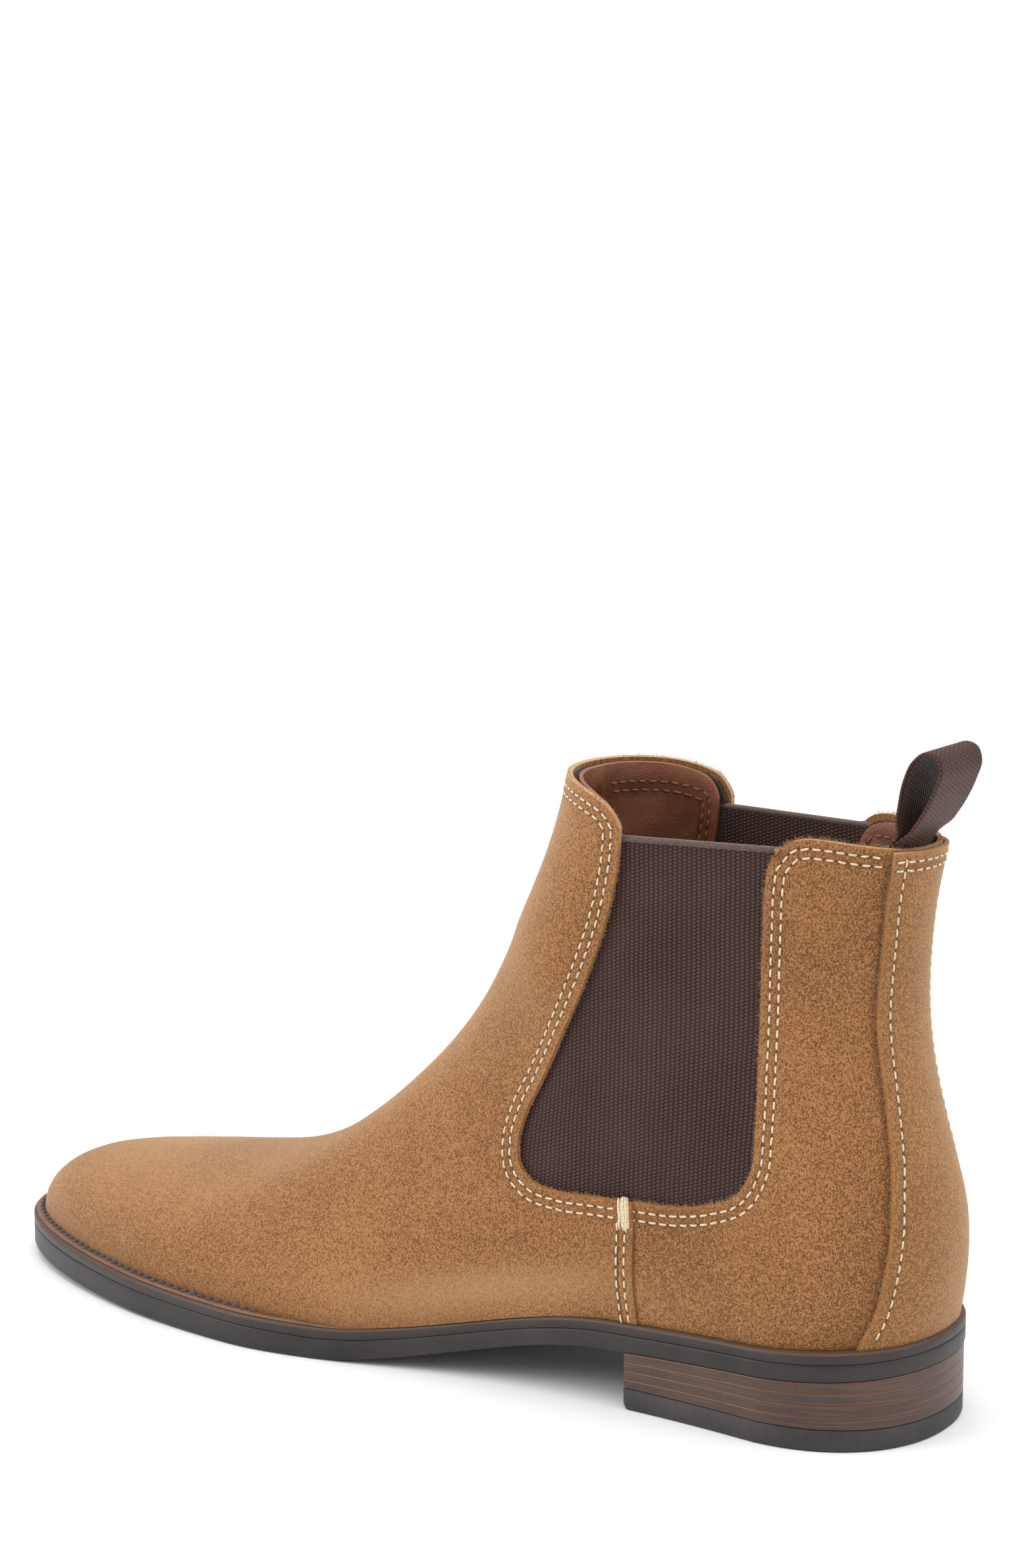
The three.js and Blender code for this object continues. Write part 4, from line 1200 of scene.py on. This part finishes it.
def back_strip():
    """Back strip over the quarters, with a stitch channel inside its edges."""
    edges = [strip_grid[:, 0], strip_grid[:, -1], strip_grid[-1]]
    edge = distance_to(strip_grid, np.concatenate(edges))
    over = np.clip(strip_grid[..., 2] - 22, 0, None)
    # Painted shade low by the welt and in the stitch channel; the whole strip is painted paler as
    # light falling from behind.
    marks = {"channel_and_shade": np.exp(-(((edge - STRIP_ROW) / 0.45) ** 2)), "raw": np.exp(-edge / 0.35),
             "tone": 0.4 * np.exp(-over / 3), "pale_nap_and_highlight": np.full(edge.shape, 0.18)}
    faces = grid_faces(*strip_grid.shape[:2], flip=facing_back(strip_grid))
    strip = mesh_piece("back_strip_suede", strip_grid, faces, [suede, cut_edge], "boot", "suede",
                       grid_lengths(strip_grid), marks, replaces=("back_strip",))
    thicken(strip, 1.3, 0.35, 1)


def gore_grid(side, depth=1.8, top=150.4, rows=110, cols=70):
    """Elastic gore: level rows between the opening's two borders, grown 6.5 mm under them."""
    wide = shifted(GORE_EDGE, 6.5)
    rear, front = wide[:SEAM_TOP], wide[SEAM_TOP:]
    low = wide[SEAM_TOP, 1] + 1.2
    z = low + (top - low) * np.linspace(0, 1, rows)
    a = np.interp(z, rear[::-1, 1], rear[::-1, 0])
    b = np.interp(z, front[:, 1], front[:, 0])
    u = np.linspace(0, 1, cols)
    y = a[:, None] * (1 - u) + b[:, None] * u
    z = z[:, None] * np.ones_like(y)
    grid = on_side(y, z, side)
    return grid - outward(grid) * depth, np.stack([y, z], -1) * 0.001


def gore(side, label):
    """Elastic gore, and the selvedge rolled along its top edge."""
    grid, laid = gore_grid(side)
    faces = grid_faces(*grid.shape[:2], flip=turned_out(grid))
    cloth = mesh_piece(f"gore_{label}_elastic", grid, faces, elastic, "boot", "gore_elastic", laid,
                       replaces=(f"gore_{label}",))
    thicken(cloth, 1.1)
    rim = grid[-1] + [0, 0, 0.1] - outward(grid)[-1] * 0.4
    bead(f"gore_{label}_selvedge", rim, 0.9, selvedge, "gore_elastic")


# ---- linings and the layers between ------------------------------------------------

LINING = {"inset": 2.6, "drop": 0.6, "depth": 3.3, "fine": False}
INTERLINING = {"inset": 1.2, "drop": 1.2, "depth": 1.75, "fine": False}


def lining_sheet(name, grid, replaced, sides):
    """A lining, with bell-curve channels under its two stitch rows, which press it in and darken it
    with painted shade.
    """
    rim = [side_points(PANEL_RIM[::4], side, -LINING["depth"]) for side in sides]
    edge = distance_to(grid, np.concatenate(rim))
    channel_and_shade = sum(np.exp(-(((edge - row) / 0.4) ** 2)) for row in LINING_ROWS)
    sheet_piece(name, grid, lining, 1.1, 0.3, "lining", (replaced,), {"channel_and_shade": channel_and_shade})


def interlining_sheet(name, grid, replaced):
    """A stiffening cloth between suede and lining."""
    sheet_piece(name, grid, charcoal, 1.2, 0.2, "stiffener", (replaced,))


def front_layers():
    """Lining and interlining of the vamp and front shaft."""
    lining_sheet("vamp_lining_leather", vamp_sheet(rows=110, cols=34, **LINING), "vamp_lining",
                 (OUTER, INNER))
    interlining_sheet("front_interlining_cloth", vamp_sheet(rows=110, cols=34, **INTERLINING),
                      "front_interlining")


def back_layers(side, label):
    """Lining and interlining of one quarter."""
    lining_sheet(f"quarter_lining_{label}", quarter_sheet(side, rows=80, cols=30, **LINING),
                 "quarter_lining", (side,))
    interlining_sheet(f"back_interlining_{label}",
                      quarter_sheet(side, rows=80, cols=30, **INTERLINING), "back_interlining")


# ---- seams -------------------------------------------------------------------------

def stitch_row(line, distance):
    """A row beside an edge, without the stretch that would double back at a corner."""
    row = shifted(line, distance)
    gap = np.sqrt(((row[:, None] - line[None]) ** 2).sum(-1).min(1))
    return row[gap > distance - 0.12]


def to_ridge(row):
    """A row whose front end is carried round to the ridge, closing up as it nears it."""
    share = np.linspace(0, 1, 400)
    last = row[-1]
    height = last[1] + 0.2
    end = np.interp(height, ridge_z(share)[::-1], ridge_y(share)[::-1]) - 1e-4
    u = np.linspace(0, 1, 16)[1:]
    more = np.stack([end - (end - last[0]) * (1 - u) ** 2, last[1] + (height - last[1]) * u], -1)
    return np.concatenate([row, more])


def rim_seams():
    """Double rows inside the panels' edges, round the gores and along the collar."""
    rows = []
    for side, _ in SIDES:
        for distance in STITCH_ROWS:
            row = stitch_row(PANEL_RIM, distance)
            rows.append(seam_line(to_ridge(row[row[:, 0] > 14.5]), side))
    stitched("rim_stitches", rows, cream_thread, 3, needle_hole_shade)


def vamp_seams():
    """Double rows down the vamp's rear edge, from under the gores to the welt."""
    rows = []
    for side, _ in SIDES:
        for distance in STITCH_ROWS:
            rows.append(seam_line(shifted(SEAM, distance)[2:-9], side, 0.6))
    stitched("vamp_seam_stitches", rows, cream_thread, 4, needle_hole_shade)


def back_tacks():
    """Heaped threads that lock the seam under each gore: (across, start, end) of each one."""
    top = GORE_EDGE[SEAM_TOP]
    threads = []
    for side, _ in SIDES:
        for k, (across, low, high) in enumerate(((1.2, 0, 6.2), (2.0, 0.5, 7.0), (2.9, 0.2, 6.6),
                                                 (3.7, 0.8, 5.8), (2.4, -0.4, 6.0),
                                                 (1.6, 0.3, 5.2))):
            line = np.stack([np.linspace(top[0] + across, top[0] + across - 0.5, 12),
                             np.linspace(top[1] - 0.3 - low, top[1] - high, 12)], -1)
            threads.append(seam_line(line, side, 0.55 + 0.06 * k))
    stitched("seam_back_tacks", threads, cream_thread, 9, step=6.0, length=5.6, radius=0.42,
             lift=0.35)


def row_inside(grid, normals, distance):
    """The line at a distance along every row of a grid from its first point, with normals."""
    step = np.linalg.norm(np.diff(grid, axis=1), axis=-1)
    arc = np.concatenate([np.zeros((len(grid), 1)), np.cumsum(step, 1)], 1)
    row = np.arange(len(grid))
    i = (arc < distance).sum(1) - 1
    w = ((distance - arc[row, i]) / step[row, i])[:, None]
    line = grid[row, i] * (1 - w) + grid[row, i + 1] * w
    away = normals[row, i] * (1 - w) + normals[row, i + 1] * w
    return line[2:-1], away[2:-1]


def strip_seams():
    """One row inside each edge of the back strip, and the collar's two rows across its top."""
    rows = [row_inside(strip_grid, strip_out, STRIP_ROW),
            row_inside(strip_grid[:, ::-1], strip_out[:, ::-1], STRIP_ROW)]
    for distance in STITCH_ROWS:
        row = int(np.argmin(np.abs(strip_grid[:, 0, 2] - (COLLAR_BACK - distance))))
        rows.append((strip_grid[row, 2:-2], strip_out[row, 2:-2]))
    stitched("back_strip_stitches", rows, cream_thread, 5, needle_hole_shade)


def lining_seams():
    """Double rows on the linings' inner faces, behind those of the rim."""
    rows = []
    for side, _ in SIDES:
        for distance in LINING_ROWS:
            row = stitch_row(PANEL_RIM, distance)
            y, z = row.T
            for part in (row[(y < 60) & (z > 62) & (y > 12)], row[(y > 70) & (z > 70)]):
                points, normals = seam_line(part, side, -4.45)
                rows.append((points, -normals))
    stitched("lining_stitches", rows, tan_thread, 6, needle_hole_shade)


def edge_for_fibres(line, side, distance=0.6, lift=-0.5):
    """A cut edge for fibre_shapes: its line, the way out of the panel, and the normals."""
    points, normals = seam_line(line, side, lift)
    out = on_side(*shifted(line, -distance).T, side) - on_side(*line.T, side)
    return points, out / np.linalg.norm(out, axis=1, keepdims=True), normals


def stray_fibres():
    """Fibres standing off the cut edges of the panels and of the back strip."""
    edges = []
    for side, _ in SIDES:
        edges += [edge_for_fibres(PANEL_RIM, side), edge_for_fibres(SEAM[::-1], side)]
    mesh_piece("panel_edge_fibres", *fibre_shapes(edges, 11), fibre, "boot", "suede")
    edges = []
    for grid, normals in ((strip_grid, strip_out), (strip_grid[:, ::-1], strip_out[:, ::-1])):
        out = grid[:, 0] - grid[:, 2]
        out /= np.linalg.norm(out, axis=1, keepdims=True)
        edges.append((grid[:, 0] - normals[:, 0] * 0.5, out, normals[:, 0]))
    mesh_piece("back_strip_fibres", *fibre_shapes(edges, 12), fibre, "boot", "suede")


# ---- sole --------------------------------------------------------------------------

def plan_of(inset):
    """Half width of the sole drawn in by an inset, for plan_loop."""
    return lambda y, side: sole_half(y, side, inset)


def outsole_and_welt():
    """Outsole and welt over one plan, with their meeting edges eased to a fine groove."""
    plan = plan_loop(0.0, SOLE_LENGTH, sole_half, 260)
    rings = [(0.8, "b", 0.0), (0.25, "b", 0.2), (0.0, "b", 0.75), (0.0, "t", 1.2),
             (0.0, "t", 0.05), (0.12, "t", -0.09), (0.5, "t", -0.1)]
    slab("outsole_rubber", plan, sole_bottom, outsole_top, rings, sole_rubber, "sole_rubber",
         ("outsole",), [0, 0, 0, 0, 0, 0, 0])
    rings = [(0.5, "b", -0.1), (0.12, "b", -0.09), (0.0, "b", 0.05), (0.0, "t", 0.8),
             (0.25, "t", 0.2), (0.9, "t", 0.0)]
    slab("welt_rubber", plan, lambda y: outsole_top(y) + GAP, feather, rings, sole_rubber,
         "sole_rubber", ("welt",), [0, 0, 0, 0.2, 0.8, 1])


def welt_strip():
    """Leather strip on the welt round the forefoot, tapering out at the waist, and its rope
    stitches."""
    waist, edge = 150, 0.9
    loop, _ = plan_loop(edge, SOLE_LENGTH - edge, plan_of(edge), 300)
    keep = loop[:, 1] > waist
    order = np.roll(np.arange(len(loop)), -int(np.argmin(keep)))
    band = loop[order][keep[order]]
    inward = inward_of(band, np.gradient(band, axis=0))
    high = 0.75 * smooth((band[:, 1] - waist) / 25)
    rings = []
    for inset, lift in ((0.0, 0.02), (0.0, 0.6), (0.3, 1.0), (3.1, 1.0), (3.1, 0.02)):
        ring = band + inward * inset
        rings.append(np.c_[ring, feather(ring[:, 1]) + 0.02 + high * lift])
    strip = mesh_piece("welt_strip_leather", np.array(rings),
                       grid_faces(len(rings), len(band), wrap_rows=True), welt_leather, "boot",
                       "sole_rubber")
    close_mesh(strip)
    rope = band + inward * 1.75
    rope = rope[rope[:, 1] > 186]
    line = np.c_[rope, feather(rope[:, 1]) + 0.85]
    stitched("welt_rope_stitches", [(line, np.tile([0, 0, 1.0], (len(line), 1)))], dark_thread, 7,
             step=3.2, length=3.0, radius=0.75, lift=0.5)


def lift_line(y, k):
    """Height of the joint under lift k, an even share of the way from top lift to outsole."""
    seat = sole_bottom(np.minimum(y, HEEL_LENGTH))
    return TOP_LIFT + (seat - TOP_LIFT) * k / LIFTS


def heel():
    """Heel block: leather lifts with eased, lighter rims, and the rubber top lift below them."""
    plan = plan_loop(0.3, HEEL_LENGTH, plan_of(0.3), 130, 1.5)
    rings = [(0.3, "b", 0.0), (0.04, "b", 0.05), (0.0, "b", 0.28), (0.0, "t", 0.28),
             (0.04, "t", 0.05), (0.3, "t", 0.0)]
    for k in range(LIFTS):
        last = k == LIFTS - 1
        slab(f"heel_lift_{k + 1}_leather", plan, lambda y: lift_line(y, k) + 0.03,
             lambda y: lift_line(y, k + 1) - (0.06 if last else 0.03), rings, stack_leather,
             "heel_stack", (f"heel_lift_{k + 1}",), [1, 0.8, 0, 0, 0.8, 1])
    rings = [(0.9, "b", 0.0), (0.3, "b", 0.15), (0.0, "b", 0.8), (0.0, "t", 0.5), (0.4, "t", 0.0)]
    slab("top_lift_rubber", plan, lambda y: np.maximum(0, 1.2 - (HEEL_LENGTH - y) * 0.8),
         lambda y: np.full_like(y, TOP_LIFT - 0.1), rings, tip_rubber, "heel_tip", ("top_lift",))


def sock():
    """Leather sock over the insole, 1.2 mm thick, inside the linings."""
    inset, shy = 6.3, 0.6

    def half(y, side):
        wide = sole_half(y, side, inset) - welt_shelf(y) * 0.9
        return np.maximum(0.4, wide) - shy

    rings = [(0.3, "b", 0.0), (0.0, "b", 0.3), (0.0, "t", 0.3), (0.3, "t", 0.0)]
    slab("sock_leather", plan_loop(12.2, 288, half, 140), lambda y: feather(y) + 4.2,
         lambda y: feather(y) + 5.4, rings, lining, "lining", ("sock_liner",))


# ---- pull tab ----------------------------------------------------------------------

HINGE = np.array([11.3, 153.25])
LOOP = spaced([HINGE + p for p in np.array([
    (0.15, -12), (0.15, -6), (0.15, 0.6), (1.2, 4), (0.7, 10), (-0.6, 16), (-2.8, 20.6), (-6, 23),
    (-9, 22.2), (-10.2, 19), (-8.9, 14.5), (-6, 8.4), (-2.6, 3.2), (-0.95, 0.6), (-0.95, -6),
    (-0.95, -12)])], 150)


def tab_ribbon():
    """Webbing ribbon: the loop line made 1 mm thick and 24.4 mm wide, its selvedges rounded.

    Below the collar the ribbon follows the curve of the back, blended in over 7 mm.
    """
    d = np.gradient(LOOP, axis=0)
    d /= np.linalg.norm(d, axis=1, keepdims=True)
    side = np.stack([d[:, 1], -d[:, 0]], -1)
    half, thick = 12.2, 0.5
    across = np.linspace(-half + 1.2, half - 1.2, 11)
    front = [(-half, 0.2), (-half + 0.35, 0.45)] + [(x, thick) for x in across] \
        + [(half - 0.35, 0.45), (half, 0.2)]
    profile = np.array([(-half, -0.2)] + front + [(x, -t) for x, t in front[:0:-1]])
    x = profile[:, 0] * np.ones((len(LOOP), 1))
    yz = LOOP[:, None] + side[:, None] * profile[:, 1][None, :, None]
    y, z = yz[..., 0], yz[..., 1]
    low = np.minimum(z, 151.0)
    y = y + (back_y(x, low) - back_line(low)) * smooth((157 - z) / 7)
    arc = np.r_[0, np.cumsum(np.hypot(*np.diff(LOOP, axis=0).T))]
    return np.stack([x, y, z], -1), np.stack([x, arc[:, None] + 0 * x], -1) * 0.001


def pull_tab():
    """The webbing loop with its tail, as one closed piece."""
    grid, laid = tab_ribbon()
    tab = mesh_piece("pull_tab_webbing", grid, grid_faces(*grid.shape[:2], wrap_cols=True), webbing,
                     None, "webbing", laid, replaces=("pull_tab", "pull_tab_tail"))
    close_mesh(tab)
    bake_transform(tab)


# ---- inner parts, floor, light and camera ------------------------------------------

def inner_parts():
    """The hidden CAD parts keep their shape and take a finish."""
    looks = {"toe_puff": charcoal, "heel_counter": charcoal, "insole_board": board,
             "bottom_filler": board, "shank": steel}
    looks.update({f"heel_nail_{k}": steel for k in range(1, 6)})
    for name, look in looks.items():
        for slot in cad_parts[name].material_slots:
            slot.material = look


def pale_floor():
    """White floor, greyer near the boot as painted shade round it, and paler further out where the
    lights fall off.
    """
    look, t, shader = finish_of("pale_floor", Roughness=0.65, Specular_IOR_Level=0.2)
    apart = t.add("VectorMath", {0: t.add("TexCoord").outputs["Object"], 1: (0.0, 0.1, 0.0)},
                  operation="DISTANCE").outputs["Value"]
    t.join(t.mix(rgb(0.86, 0.86, 0.86), rgb(0.98, 0.98, 0.98), t.remap(apart, 0.28, 0.62)),
           shader.inputs["Base Color"])
    corners = np.array([[-900, -750, 0], [900, -750, 0], [900, 1000, 0], [-900, 1000, 0]])
    mesh_piece("floor", corners, np.array([[0, 1, 2, 3]]), look, None)


def white_room():
    """Even light from all round, brighter where it is seen directly."""
    world = bpy.data.worlds.new("studio")
    world.use_nodes = True
    sky = Tree(world.node_tree)
    background = world.node_tree.nodes["Background"]
    seen = sky.add("LightPath").outputs["Is Camera Ray"]
    background.inputs["Color"].default_value = rgb(1, 1, 1)
    sky.join(sky.remap(seen, 0.0, 1.0, 0.66, 1.02), background.inputs["Strength"])
    scene.world = world
    scene.view_settings.view_transform = "Standard"


def softbox(name, place, aim, size, power):
    """A square area light at a place, facing aim."""
    light = bpy.data.lights.new(name, "AREA")
    light.size = size
    light.energy = power
    lamp = bpy.data.objects.new(name, light)
    lamp.location = place
    lamp.rotation_euler = (Vector(aim) - Vector(place)).to_track_quat("-Z", "Y").to_euler()
    scene.collection.objects.link(lamp)


def set_camera(place, azimuth, tilt, roll, focal):
    """A camera at a place, looking along an azimuth and down by a tilt, in degrees."""
    azimuth, tilt, roll = np.radians([azimuth, tilt, roll])
    level = Vector((np.cos(azimuth), np.sin(azimuth), 0))
    ahead = level * np.cos(tilt) - Vector((0, 0, np.sin(tilt)))
    right = Vector((np.sin(azimuth), -np.cos(azimuth), 0))
    up = level * np.sin(tilt) + Vector((0, 0, np.cos(tilt)))
    right, up = (right * np.cos(roll) + up * np.sin(roll),
                 up * np.cos(roll) - right * np.sin(roll))
    lens = bpy.data.cameras.new("camera")
    lens.lens = focal
    lens.sensor_width = 36
    lens.sensor_fit = "AUTO"
    lens.clip_start = 0.02
    lens.clip_end = 60
    camera = bpy.data.objects.new("camera", lens)
    turn = Matrix((right, up, -ahead)).transposed().to_4x4()
    camera.matrix_world = Matrix.Translation(place) @ turn
    scene.collection.objects.link(camera)
    scene.camera = camera


# ---- the boot and its room ---------------------------------------------------------

vamp()
for side, label in SIDES:
    quarter(side, label)
back_strip()
for side, label in SIDES:
    gore(side, label)
front_layers()
for side, label in SIDES:
    back_layers(side, label)
rim_seams()
vamp_seams()
back_tacks()
strip_seams()
lining_seams()
stray_fibres()
outsole_and_welt()
welt_strip()
heel()
sock()
pull_tab()
inner_parts()
pale_floor()
white_room()
softbox("overhead", (0, 0.1, 2.2), (0, 0.1, 0), 3.2, 62)
softbox("key", (-1.5, 1.5, 1.0), (0, 0.1, 0.05), 1.0, 22)
softbox("rear", (0.3, -1.7, 0.9), (0, 0.0, 0.08), 0.9, 10)
set_camera((-0.6755, -0.3441, 0.2871), 33.045, 9.234, -0.14, 68.67)
